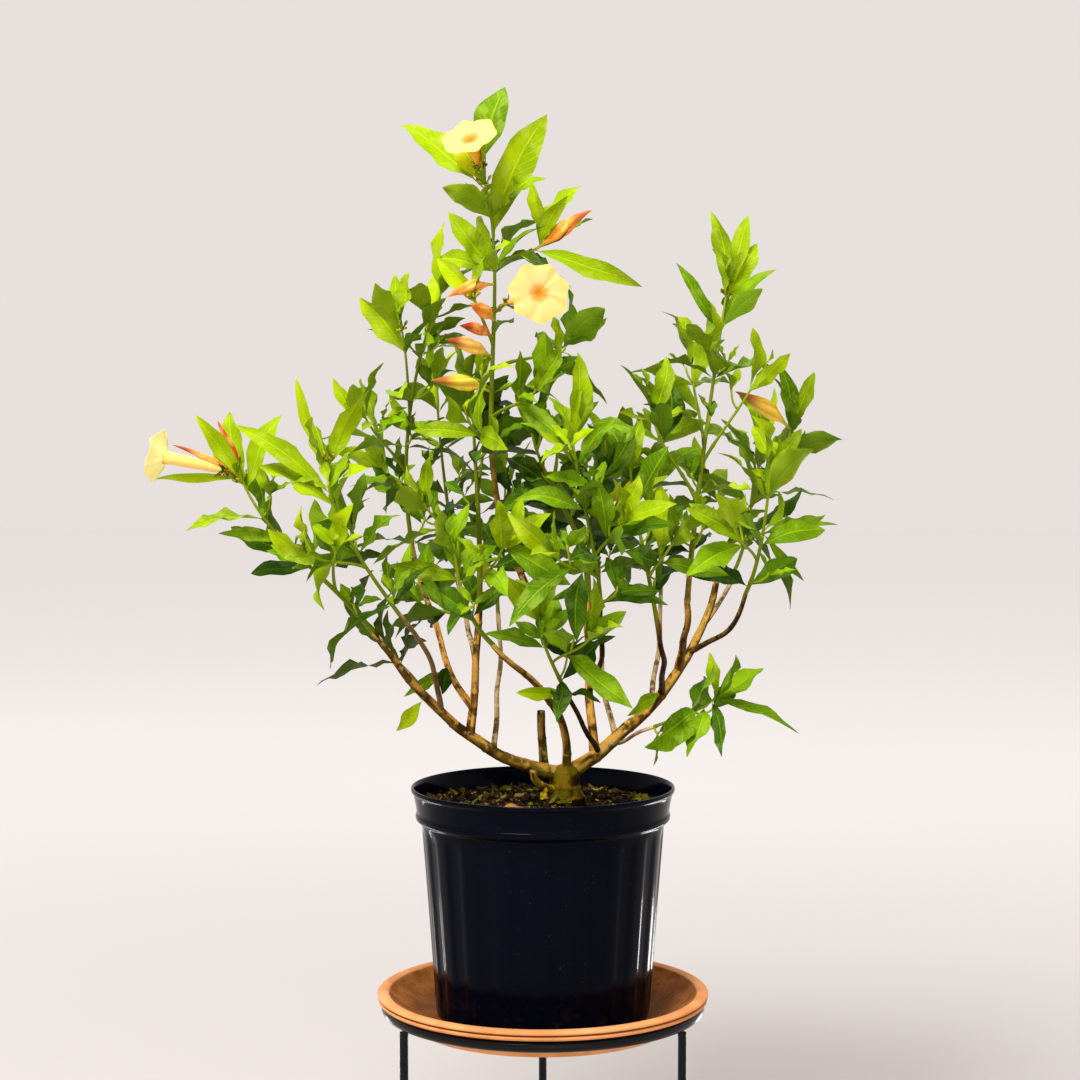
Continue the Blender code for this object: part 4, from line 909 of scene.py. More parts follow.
# %% [markdown]
# ## Shoots
#
# Each mass of leaves hangs on one stem that carries on from a bough. Side shoots leave it, and long
# shoots bear short spurs. The table is the one the solids use: which shoot bears it, how far along,
# and where it ends. A shoot is woody and brown at its base and green at its tip, so its colour
# follows a number stored along it.

# %% Table of shoots
Shoot = namedtuple("Shoot", "on at tip arrive bare turn apart", defaults=(1.0,))
# Each mass: its bough, and a row for each shoot. A tip is in millimetres from the rim's centre.
MASSES = {
    "leaves_far_left": ("bough_left", [
        (None, 0, (-300, -140, 333), (-0.3, -0.1, 0.9), 0.02, 20, 1.5),
        (0, 0.28, (-216, -35, 262), (0, 0.3, 0.9), 0.4, 70),
    ]),
    "leaves_left_front": ("bough_left_front", [
        (None, 0, (-211, -172, 348), (0, 0, 1), 0.05, 50, 1.25),
        (0, 0.35, (-226, -212, 262), (-0.4, -0.4, 0.7), 0.4, 10),
    ]),
    "leaves_left_top": ("bough_left_inner", [
        (None, 0, (-104, 30, 528), (0.4, -0.1, 0.9), 0.06, 0),
        (0, 0.4, (-190, 10, 396), (-0.3, -0.3, 0.9), 0.45, 30),
        (0, 0.58, (-150, 5, 490), (-0.2, -0.2, 0.9), 0.55, 60),
    ]),
    "leaves_mid_left": ("bough_left_upright", [
        (None, 0, (-74, 18, 420), (0, 0, 1), 0.05, 15),
        (0, 0.22, (-124, -22, 300), (-0.3, -0.3, 0.8), 0.35, 50),
        (0, 0.48, (-60, 88, 382), (0.1, 0.4, 0.9), 0.4, 80),
    ]),
    "leaves_left_back": ("bough_left_back", [
        (None, 0, (-118, 158, 430), (0, -0.1, 1), 0.05, 25),
        (0, 0.25, (-180, 196, 332), (-0.4, 0.2, 0.8), 0.35, 0),
    ]),
    "leaves_back_left": ("bough_back_left", [
        (None, 0, (-42, 176, 318), (0, 0, 1), 0.05, 60),
        (0, 0.3, (-108, 212, 232), (-0.5, 0.3, 0.6), 0.4, 10),
    ]),
    "leaves_low_left": ("bough_low_left", [
        (None, 0, (-176, 4, 158), (-0.4, 0.1, 0.8), 0.2, 40),
    ]),
    "leaves_centre_left": ("bough_centre_left", [
        (None, 0, (-90, -105, 262), (-0.1, 0, 1), 0.15, 35),
        (0, 0.3, (-132, -72, 205), (-0.5, 0, 0.7), 0.4, 0),
        (0, 0.45, (-38, -150, 266), (0.2, -0.4, 0.8), 0.35, 70),
    ]),
    "leaves_leader": ("bough_leader", [
        (None, 0, (-62, -20, 638), (-0.25, -0.1, 0.9), 0.03, 10, 1.25),
        (0, 0.78, (4, -10, 575), (0.2, 0, 0.9), 0.4, 40),
        (0, 0.52, (30, 30, 472), (0.5, 0.1, 0.8), 0.35, 20),
        (0, 0.32, (-78, -68, 392), (-0.2, -0.3, 0.9), 0.4, 65),
        (0, 0.4, (-4, -60, 424), (0.2, -0.2, 0.9), 0.35, 30),
        (0, 0.58, (-72, -42, 516), (-0.2, -0.2, 0.9), 0.5, 15),
    ]),
    "leaves_centre": ("bough_centre", [
        (None, 0, (-14, -36, 388), (-0.1, -0.1, 1), 0.03, 55),
        (0, 0.14, (64, 56, 330), (0.1, 0.1, 1), 0.25, 20),
    ]),
    "leaves_front_high": ("bough_front_high", [
        (None, 0, (28, -122, 378), (-0.1, 0, 1), 0.03, 5),
        (0, 0.2, (10, -185, 258), (-0.3, -0.4, 0.7), 0.35, 40),
        (0, 0.32, (82, -160, 292), (0.3, -0.3, 0.8), 0.4, 75),
    ]),
    "leaves_right_inner": ("bough_right_inner", [
        (None, 0, (88, -80, 338), (-0.1, 0, 1), 0.03, 30),
        (0, 0.3, (130, -138, 270), (0.2, -0.3, 0.8), 0.4, 0),
    ]),
    "leaves_right_leader": ("bough_right_leader", [
        (None, 0, (191, -20, 524), (0.15, 0, 1), 0.04, 25, 1.2),
        (0, 0.33, (113, -60, 400), (0.1, -0.1, 1), 0.45, 60),
        (0, 0.45, (216, -58, 424), (0.4, -0.2, 0.8), 0.4, 10),
        (0, 0.5, (158, 45, 452), (0, 0.2, 0.9), 0.4, 50),
    ]),
    "leaves_right_front": ("bough_right_front", [
        (None, 0, (228, -120, 345), (0.1, 0, 1), 0.03, 45),
        (0, 0.3, (186, -165, 284), (-0.2, -0.4, 0.8), 0.4, 15),
    ]),
    "leaves_right_tall": ("bough_right", [
        (None, 0, (266, 48, 380), (0.2, -0.1, 1), 0.03, 35),
        (0, 0.2, (244, -4, 272), (0.7, -0.2, 0.4), 0.35, 0),
    ]),
    "leaves_right_back": ("bough_right_back", [
        (None, 0, (240, 160, 372), (0.1, 0, 1), 0.03, 0),
        (0, 0.3, (180, 208, 318), (-0.4, 0.3, 0.8), 0.4, 50),
    ]),
    "leaves_back": ("bough_back", [
        (None, 0, (62, 168, 345), (0, -0.1, 1), 0.05, 70),
        (0, 0.25, (6, 222, 255), (-0.5, 0.3, 0.7), 0.4, 20),
    ]),
    "leaves_back_right": ("bough_back_right", [
        (None, 0, (128, 136, 395), (0, -0.1, 1), 0.03, 10),
        (0, 0.3, (120, 240, 300), (-0.1, 0.4, 0.8), 0.4, 55),
    ]),
    "leaves_front_low": ("bough_front", [
        (None, 0, (-6, -112, 192), (-0.1, -0.1, 1), 0.1, 40),
        (0, 0.35, (48, -135, 172), (0.4, -0.3, 0.8), 0.4, 5),
    ]),
    "leaves_low_right": ("bough_low_right", [
        (None, 0, (176, -134, 116), (0.4, -0.1, 0.8), 0.04, 30),
    ]),
}
STEM_SHARE = 0.80
SHOOT_TIP = 0.0014
Whorl = namedtuple("Whorl", "step length pitch count")
WHORLS = [Whorl(*row) for row in (
    (0.006, 0.068, 26, 3), (0.026, 0.080, 48, 3), (0.044, 0.082, 60, 3), (0.050, 0.078, 68, 2),
    (0.050, 0.072, 74, 2),
)]
print("masses:", len(MASSES), "named shoots:", sum(len(shoots) for bough, shoots in MASSES.values()))

# %% Grow the shoots
LIMB_CHORD = 0.047
SHOOT_CHORD = 0.056
SOLID_START, SOLID_GAP, SUNK = 0.0043, 0.0003, 0.002
UPRIGHT, STEM_HINT = (0.0, 0.0, 1.0), (0.2, 1.0, 0.1)


def across(direction, hint=UPRIGHT):
    """Two directions square to a direction, the second as near to the hint as it can be."""
    direction, hint = unit(direction), np.asarray(hint, float)
    if abs(direction @ unit(hint)) > 0.999:
        hint = np.array((1.0, 0.2, 0.0))
    up = square_to(direction, hint)
    return np.cross(direction, up), up


def round_axis(axis, angle, hint=STEM_HINT):
    """The direction square to an axis at an angle round it."""
    side, up = across(axis, hint)
    return math.cos(angle) * side + math.sin(angle) * up


def chords(line, spacing):
    """The line as the few straight chords that the solids use."""
    return even_points(line, max(3, round(line_length(line) / spacing) + 1))


def whorl_places(line, bare, apart=1.0):
    """(share of the length, rank from the tip) of each whorl above the bare part of a shoot."""
    length, below, rank, places = line_length(line), 0.0, 0, []
    while True:
        below += WHORLS[min(rank, len(WHORLS) - 1)].step * apart
        if below > length * (1.0 - bare):
            return places
        places.append((1.0 - below / length, rank))
        rank += 1


def spur_lines(line, bare, apart, draw):
    """Short side spurs at every third whorl of a long shoot."""
    spurs = []
    if line_length(line) < 0.17:
        return spurs
    for share, rank in whorl_places(line, bare, apart):
        if rank % 3 == 2:
            node, axis = at_share(line, share)
            out = round_axis(axis, draw.uniform(0, math.tau))
            tip = node + draw.uniform(0.030, 0.050) * (0.75 * out + 0.45 * axis + (0, 0, 0.25))
            spurs.append((node, tip, out, 0.5 * out + (0, 0, 0.6)))
    return spurs


Row = namedtuple("Row", "line ruled thick bare turn apart oldest")
grown = {}
for mass, (bough, shoots) in MASSES.items():
    draw = random.Random(mass)
    ends = chords(ruled_limbs[bough], LIMB_CHORD)
    tip, heading = ends[-1], unit(ends[-1] - ends[-2])
    rows = []
    for shoot in (Shoot(*row) for row in shoots):
        end = from_rim(shoot.tip)
        if shoot.on is None:
            way = (tip + SOLID_START * heading, end, heading, shoot.arrive)
            ruled = np.vstack((tip + SOLID_GAP * heading, chords(sweep(*way), SHOOT_CHORD)))
            line = np.vstack((tip - SUNK * heading, sweep(*way)))
            thick = by_name[bough].thin
        else:
            parent = rows[shoot.on]
            start, ahead = at_share(parent.ruled, shoot.at)
            way = (start, end, unit(unit(end - start) + 0.25 * ahead), shoot.arrive)
            ruled = chords(sweep(*way), SHOOT_CHORD)
            line = sweep(at_share(parent.line, shoot.at)[0], *way[1:])
            thick = STEM_SHARE * (parent.thick + (SHOOT_TIP - parent.thick) * shoot.at)
        rows.append(Row(line, ruled, thick, shoot.bare, shoot.turn, shoot.apart, 1.0))
    for row in tuple(rows):
        for spur in spur_lines(row.ruled, row.bare, row.apart, draw):
            ruled = chords(sweep(*spur), SHOOT_CHORD)
            rows.append(Row(sweep(*spur), ruled, 0.6 * row.thick, 0.45, draw.uniform(0, 90), 1.0, 0.3))
    grown[mass] = (rows, draw)
print("shoots with spurs:", sum(len(rows) for rows, draw in grown.values()))

# %% [markdown]
# From the axil of a whorl, a real plant sends out short side twigs, each with a bare foot and a
# tuft of young leaves. They are the same rule once more, finer: the solids are too coarse for
# them. Near the top, where the stem shows bare between the whorls, there are few. A second seeded
# deal says which whorls bear one, and which way it points.

# %% Side twigs
Twig = namedtuple("Twig", "line thick mass")
TWIG_LENGTH = (0.014, 0.030)
TWIG_RADIUS = 0.0012
BARE_TOP = 0.47
twigs = []
for mass, (rows, draw) in grown.items():
    deal = random.Random("twigs " + mass)
    for row in rows:
        for share, rank in whorl_places(row.ruled, 0.8 * row.bare, row.apart):
            node, axis = at_share(row.line, share)
            chance = 0.22 if node[2] - RIM[2] > BARE_TOP else 0.85
            angle, reach = deal.uniform(0, math.tau), deal.uniform(*TWIG_LENGTH)
            if rank == 0 or deal.random() > chance:
                continue
            out = round_axis(axis, angle)
            tip = node + reach * unit(0.8 * out + 0.5 * axis + (0, 0, 0.35))
            twigs.append(Twig(sweep(node, tip, out, (0, 0, 0.8), 9), TWIG_RADIUS, mass))
print("side twigs:", len(twigs))

# %% Shoot skins
AROUND_SHOOT, SHOOT_STEP = 9, 0.0035
OLD_AFTER = 0.42
green_wood = Finish("green_shoot", 0.5, Specular_IOR_Level=0.06)
age = green_wood.value("age")
aged = green_wood.layers((0.16, 0.085, 0.010), (green_wood.patches(90, 3, 0.35, 0.65), (0.44, 0.25, 0.045)))
old = green_wood.step(age + 0.25 * green_wood.noise(60, 3), 0.84, 1.08)
green_wood.feed(green_wood.layers(
    (0.36, 0.46, 0.006), (green_wood.step(age, 0.0, 0.35), (0.15, 0.20, 0.004)), (old, aged)), "Base Color")
green_wood.bump(green_wood.noise(260, 3), 0.3, 0.0006)


def shoot_shape(line, thick, oldest, nodes):
    """Points, faces and age of one shoot: a thinning tube, a little swollen at each whorl."""
    length = line_length(line)
    line = even_points(line, max(6, int(length / SHOOT_STEP)))
    share = np.linspace(0, 1, len(line))
    radii = thick + (SHOOT_TIP * 0.8 - thick) * share
    swell = np.exp(-((share[:, None] - np.array(nodes)) * length / 0.0022) ** 2).sum(axis=1)
    points, faces, relief = tube(line, radii * (1 + 0.25 * swell), AROUND_SHOOT)
    from_tip = per_point((1 - share) * length, AROUND_SHOOT, [length, 0])
    return points, faces, np.clip(from_tip / OLD_AFTER, 0, 1) * oldest + 0.12


shapes = []
for rows, draw in grown.values():
    for row in rows:
        nodes = [share for share, rank in whorl_places(row.ruled, 0.0, row.apart)] or [0.9]
        shapes.append(shoot_shape(row.line, row.thick, row.oldest, nodes))
shapes += [shoot_shape(twig.line, twig.thick, 0.1, [0.95]) for twig in twigs]
put_joined("green_shoots", shapes, ["age"], green_wood, "foliage")

# %% [markdown]
# ## Where the leaves sit
#
# Leaves come in whorls: small and upright at a shoot's tip, longer and flatter below, fewer lower
# down where some have dropped. A blade turns its upper side partly to the tip and partly to the
# outside of the crown, towards the light. The same seeded draws as in the solids put the leaves in
# the same places. A second, finer deal gives every shoot and side twig a tuft of young leaves. A
# leaf that would cut through a limb, or through another leaf's blade, is left out, as on a real
# plant it would grow round it. Some long leaves run out to the crown's outline, and a few sprout
# from bare limbs: these are placed by their tips. The space in front of the blossoms and buds is
# kept clear, because the shrub turns them to the open.

# %% Where blossoms and buds sit
Blossom = namedtuple("Blossom", "mass shoot at mouth radius face cup lobes amber")
Bud = namedtuple("Bud", "mass shoot at tip radius warmth tipped")
# Mouths and tips in millimetres from the rim's centre, radii in tenths of a millimetre.
BLOSSOMS = [Blossom(*row[:4], row[4] / 10000, *row[5:]) for row in (
    ("leaves_leader", 0, 0.66, (-4, -98, 513), 305, (0.05, -1, 0.15), 0.1, 7, 0.5),
    ("leaves_leader", 0, 0.99, (-74.5, -56, 672), 290, (-0.27, -0.64, 0.72), 0.2, 6, 1),
    ("leaves_far_left", 0, 0.96, (-372, -158, 350), 265, (-1, 0.24, 0.2), 0.5, 5, 0),
)]
BUDS = [Bud(*row[:4], row[4] / 10000, *row[5:]) for row in (
    ("leaves_leader", 1, 0.72, (50, -20, 602), 70, 0.5, 0.7),
    ("leaves_leader", 0, 0.73, (-98, -60, 511), 62, 0.45, 0.4),
    ("leaves_leader", 0, 0.64, (-74, -60, 503), 70, 0.55, 0.5),
    ("leaves_leader", 0, 0.6, (-85, -55, 482), 60, 0.8, 1),
    ("leaves_leader", 0, 0.55, (-100, -50, 468), 73, 0.22, 1),
    ("leaves_leader", 0, 0.465, (-115, -50, 426), 74, 0.04, 0.9),
    ("leaves_right_tall", 0, 0.97, (202, 5, 415), 76, 0.05, 1),
    ("leaves_far_left", 0, 0.98, (-320, -150, 385), 50, 0.95, 0),
    ("leaves_far_left", 0, 0.97, (-366, -140, 361.5), 36, 0.6, 0.9),
)]
print("blossoms:", len(BLOSSOMS), "spent buds:", len(BUDS))

# %% Table of long leaves
Leaf = namedtuple("Leaf", "root direction face length droop width rank mass stalk tone", defaults=(0.06, 0.0))
Reach = namedtuple("Reach", "shoot at tip width stalk tone", defaults=(0.06, 0.0))
# The long leaves of each mass or limb: which shoot, where on it, its tip, its width, its stalk, its tone.
REACHES = {
    "leaves_leader": [
        (0, 0.97, (-40, -20, 736), 0.8, 0.3, -1.5), (0, 0.96, (-151, 12, 704), 0.66, 0.18),
        (0, 0.85, (5, 0, 713), 0.74), (0, 0.76, (-92, -50, 599), 0.85), (0, 0.77, (-4, -35, 588), 0.6),
        (1, 0.97, (-12, -10, 638), 0.66), (1, 0.97, (40, 10, 640), 0.66), (1, 0.7, (100, -30, 539), 0.5),
    ],
    "leaves_left_top": [(0, 0.97, (-104, 20, 597), 0.66)],
    "leaves_left_front": [
        (0, 0.97, (-241, -180, 433), 0.38), (0, 0.94, (-170, -150, 420), 0.72),
        (0, 0.8, (-296, -190, 388), 0.46),
    ],
    "leaves_far_left": [
        (0, 0.94, (-340, -170, 394), 0.46), (0, 0.94, (-314, -122, 402), 0.85, 0.06, -0.5),
        (0, 0.92, (-260, -120, 398), 0.62), (0, 0.62, (-314, -150, 280), 0.6),
        (0, 0.97, (-380, -165, 336), 0.34),
    ],
    "leaves_centre_left": [(2, 0.95, (24, -172, 232), 1)],
    "leaves_front_high": [(0, 0.97, (34, -150, 453), 0.78, 0.06, 4), (1, 0.35, (33, -168, 176), 1.05)],
    "leaves_right_leader": [
        (0, 0.97, (174, -30, 605), 0.56, 0.06, -1.2), (0, 0.97, (215, 0, 603), 0.56, 0.06, -0.8),
        (0, 0.86, (143, -50, 548), 0.52, 0.06, -1.4), (0, 0.87, (238, -30, 548), 0.52, 0.06, -0.8),
    ],
    "leaves_right_tall": [
        (0, 0.96, (253, 20, 443), 0.66, 0.06, -0.6), (0, 0.96, (292, 60, 440), 0.66),
        (1, 0.92, (314, 20, 277), 0.6), (1, 0.8, (279, 10, 219), 0.45),
    ],
    "leaves_low_right": [
        (0, 0.9, (253, -150, 83), 0.5), (0, 0.85, (175, -170, 61), 0.8),
        (0, 0.93, (166, -140, 157), 0.72, 0.06, 0.4), (0, 0.62, (105, -190, 76), 1.1, 0.06, 0.3),
        (0, 0.74, (142, -180, 62), 0.95, 0.06, 0.2),
    ],
    "bough_left": [(None, 0.665, (-150, -60, 68), 1, 0.2, 3.5)],
    "bough_left_inner": [
        (None, 0.4, (-142, -20, 102), 0.6, 0.12, 3), (None, 0.42, (-105, -20, 106), 0.95, 0.15),
    ],
    "bough_right": [(None, 0.49, (94, 0, 80), 0.7, 0.1, 3)],
    "bough_front": [
        (None, 0.93, (-26, -100, 112), 0.8, 0.1, 2.5), (None, 0.9, (56, -95, 102), 0.8, 0.1, 0.8),
    ],
}
print("long leaves:", sum(len(rows) for rows in REACHES.values()))

# %% Leaves of a whorl, of a tuft and long ones
REACH_FACE = (0.0, -0.9, 0.45)
WHORLED_WIDTH = 0.86
GOLDEN_ANGLE = 137.5
TIP_TUFT, TIP_LEAN, TWIG_TUFT, TWIG_LEAN = 0.034, 12, 0.046, 34
THIN_TUFTS = ("leaves_right", "leaves_low_right")


def stem(mass, shoot):
    """The line of one shoot of a mass."""
    return grown[mass][0][shoot].line


def leaf_way(node, axis, angle, pitch, lift):
    """The direction of a leaf, pitched away from its stem, and its face, turned up and outwards."""
    pitch, out = math.radians(pitch), round_axis(axis, math.radians(angle))
    direction = unit(math.cos(pitch) * axis + math.sin(pitch) * out + (0, 0, lift))
    from_trunk = node - RIM - TRUNK_FOOT
    outlook = axis + 0.7 * unit((from_trunk[0], from_trunk[1], 0.0))
    return direction, square_to(direction, outlook)


def whorled_leaves(row, draw, mass):
    """The leaves of one shoot, whorl by whorl from its tip, with the solids' own draws."""
    leaves = []
    for share, rank in whorl_places(row.ruled, row.bare, row.apart):
        whorl = WHORLS[min(rank, len(WHORLS) - 1)]
        node, axis = at_share(row.line, share)
        for number in range(whorl.count):
            angle = row.turn + rank * 180 / whorl.count + number * 360 / whorl.count + draw.uniform(-14, 14)
            way = leaf_way(node, axis, angle, whorl.pitch + draw.uniform(-9, 9), 0.12)
            length = whorl.length * draw.uniform(0.82, 1.10)
            droop = draw.uniform(0.02, 0.14) + 0.055 * min(rank, 4)
            root = at_share(row.line, share - 0.006 * draw.uniform(0.7, 1.3) / line_length(row.ruled))[0]
            leaves.append(Leaf(root, *way, length, droop, WHORLED_WIDTH, rank, mass))
    return leaves


def tuft(line, size, count, lean, deal, mass, rank):
    """A tuft of leaves round the tip of a shoot or twig, the longest ones lowest."""
    leaves = []
    length = line_length(line)
    turned = deal.uniform(0, 360)
    for number in range(count):
        share = 1.0 - (0.0008 + 0.0022 * number) / length
        node, axis = at_share(line, share)
        angle = turned + number * GOLDEN_ANGLE + deal.uniform(-18, 18)
        way = leaf_way(node, axis, angle, lean + 9 * number + deal.uniform(-10, 10), 0.10)
        leaf_size = size * (0.62 + 0.13 * number) * deal.uniform(0.85, 1.15)
        droop, width = deal.uniform(0.02, 0.24), deal.uniform(0.76, 1.0)
        leaves.append(Leaf(node - 0.001 * axis, *way, leaf_size, droop, width, rank, mass))
    return leaves


def reach_leaf(bearer, reach):
    """A long leaf whose tip has a given place, its upper side turned to the front."""
    root = at_share(lines[bearer] if reach.shoot is None else stem(bearer, reach.shoot), reach.at)[0]
    span = from_rim(reach.tip) - root
    length = np.linalg.norm(span)
    direction = unit(span + (0, 0, 0.05 * length))
    face = across(direction, REACH_FACE)[1]
    return Leaf(root, direction, face, length, 0.05, reach.width, 0, bearer, reach.stalk, reach.tone)


leaves = [reach_leaf(bearer, Reach(*row)) for bearer, rows in REACHES.items() for row in rows]
print("longest leaf:", round(max(leaf.length for leaf in leaves), 3))

# %% Room for each leaf
STATIONS = ((0.0, 0.0), (0.40, 0.160), (0.70, 0.165), (1.0, 0.0))


def boxed(points, face_sets):
    """The lowest and the highest corner of a shape, and a search tree of its faces."""
    faces = [face for faces in face_sets for face in faces.tolist()]
    return points.min(axis=0), points.max(axis=0), BVHTree.FromPolygons([Vector(p) for p in points], faces)


def blade_tree(leaf, start):
    """A coarse folded blade from a share of its length to its tip, to test what it would touch."""
    side = np.cross(leaf.direction, leaf.face)
    shares = np.array([start] + [share for share, half in STATIONS if share > start])
    halves = np.interp(shares, *zip(*STATIONS)) * leaf.width * leaf.length
    drop = np.stack((0 * shares, 0 * shares, -leaf.droop * shares**2), axis=-1)
    middle = leaf.root + leaf.length * (shares[:, None] * leaf.direction + drop)
    edges = halves[:, None] * side
    points = np.stack((middle + edges, middle - 0.002 * leaf.face, middle - edges), axis=1).reshape(-1, 3)
    return boxed(points, [grid(len(shares), 3, False)])


class Crowd:
    """What already has its place: boxes in two arrays, and a search tree for each."""

    def __init__(self, room):
        self.lows, self.highs, self.trees = np.empty((room, 3)), np.empty((room, 3)), []

    def add(self, low, high, tree):
        self.lows[len(self.trees)], self.highs[len(self.trees)] = low, high
        self.trees.append(tree)

    def meets(self, low, high, tree):
        """Whether a shape touches one that already has its place."""
        count = len(self.trees)
        near = ((low <= self.highs[:count]) & (high >= self.lows[:count])).all(axis=1)
        return any(tree.overlap(self.trees[index]) for index in np.flatnonzero(near))


ROOM, TRUNK_CLEARS, TEST_RINGS = 5000, 0.016, 12
crowd = Crowd(ROOM)
for name, line in lines.items():
    radius = TRUNK_CLEARS if name == "trunk" else by_name[name].thick
    points, faces, relief = tube(even_points(line, TEST_RINGS), np.full(TEST_RINGS, radius), 6)
    crowd.add(*boxed(points, faces))


def fits(leaf, start=0.22, always=False):
    """Give a leaf its place, unless its blade would cut a limb or a blade before it."""
    shape = blade_tree(leaf, start)
    if not always and crowd.meets(*shape):
        return False
    crowd.add(*shape)
    return True


def keep_clear(line):
    """Keep the space before a blossom or bud free: a curtain from its line towards the front."""
    towards = 0.15 * unit(np.array(camera.location) - line.mean(axis=0))
    points = np.stack((line, line + towards), axis=1).reshape(-1, 3)
    crowd.add(*boxed(points, [grid(len(line), 2, False)]))


for blossom in BLOSSOMS:
    side, up = across(blossom.face)
    turns = np.linspace(0, math.tau, 17)[:, None]
    for size in (0.3, 0.95):
        ring = np.cos(turns) * side + np.sin(turns) * up
        keep_clear(from_rim(blossom.mouth) + size * blossom.radius * ring)
for bud in BUDS:
    base = at_share(stem(bud.mass, bud.shoot), bud.at)[0]
    for lift in (-0.6, 0.6):
        keep_clear(np.linspace(base, from_rim(bud.tip), 3)[1:] + (0, 0, lift * bud.radius))
print("kept clear:", len(crowd.trees), "shapes")

# %% Leaf places
for leaf in leaves:
    fits(leaf, always=True)
for mass, (rows, draw) in grown.items():
    for row in rows:
        leaves += [leaf for leaf in whorled_leaves(row, draw, mass) if fits(leaf)]
ruled_count = len(leaves)
for mass, (rows, draw) in grown.items():
    deal = random.Random("tufts " + mass)
    thin = mass.startswith(THIN_TUFTS)
    for row in rows:
        tip_tuft = tuft(row.line, TIP_TUFT, 2 if thin else 3, TIP_LEAN, deal, mass, 0)
        leaves += [leaf for leaf in tip_tuft if fits(leaf, 0.30)]
    for twig in (twig for twig in twigs if twig.mass == mass):
        count = 2 if thin else deal.choice((3, 4, 4, 5))
        twig_tuft = tuft(twig.line, TWIG_TUFT, count, TWIG_LEAN, deal, mass, 1)
        leaves += [leaf for leaf in twig_tuft if fits(leaf, 0.26)]
print("leaves by the solids' rule:", ruled_count, "finer ones:", len(leaves) - ruled_count)

# %% [markdown]
# ## The shape of a leaf
#
# An allamanda leaf is a glossy wedge, broadest past its middle, with a drawn-out tip that curls
# back, and paler below. It folds along its midrib, its margin waves, and it twists towards the
# light. A flat card with a picture would lose all of that at its outline. Here the blade is a grid:
# v runs from stalk to tip, u from margin to margin, first over the upper side and then back along
# the lower one, so every leaf is a closed thin solid of a few dozen faces. Both sides' faces are
# cut along the same diagonal, so that neither pokes through the other. All the leaves of one
# colour share a few arrays.

# %% Leaf meshes
LEAF_V = np.array((0.0, 0.04, 0.10, 0.18, 0.27, 0.37, 0.47, 0.57, 0.67, 0.77, 0.86, 0.94, 1.0))
UPPER_U = (-1.0, 0.0, 1.0)
LEAF_U = np.array(UPPER_U + UPPER_U[-2:0:-1])
THICKNESS = 0.00036


def half_width(v, stalk):
    """A stalk, a wedge that widens past the middle, then a fine tip, as a share of the length."""
    blade = np.clip((v - stalk) / (1 - stalk), 0, 1)
    ellipse = blade**0.88 * (1 - blade) ** 0.70 * (1 + 0.22 * np.sin(math.pi * blade))
    return 0.0075 + 0.435 * ellipse * (1 - 0.42 * blade**5) - 0.0055 * v


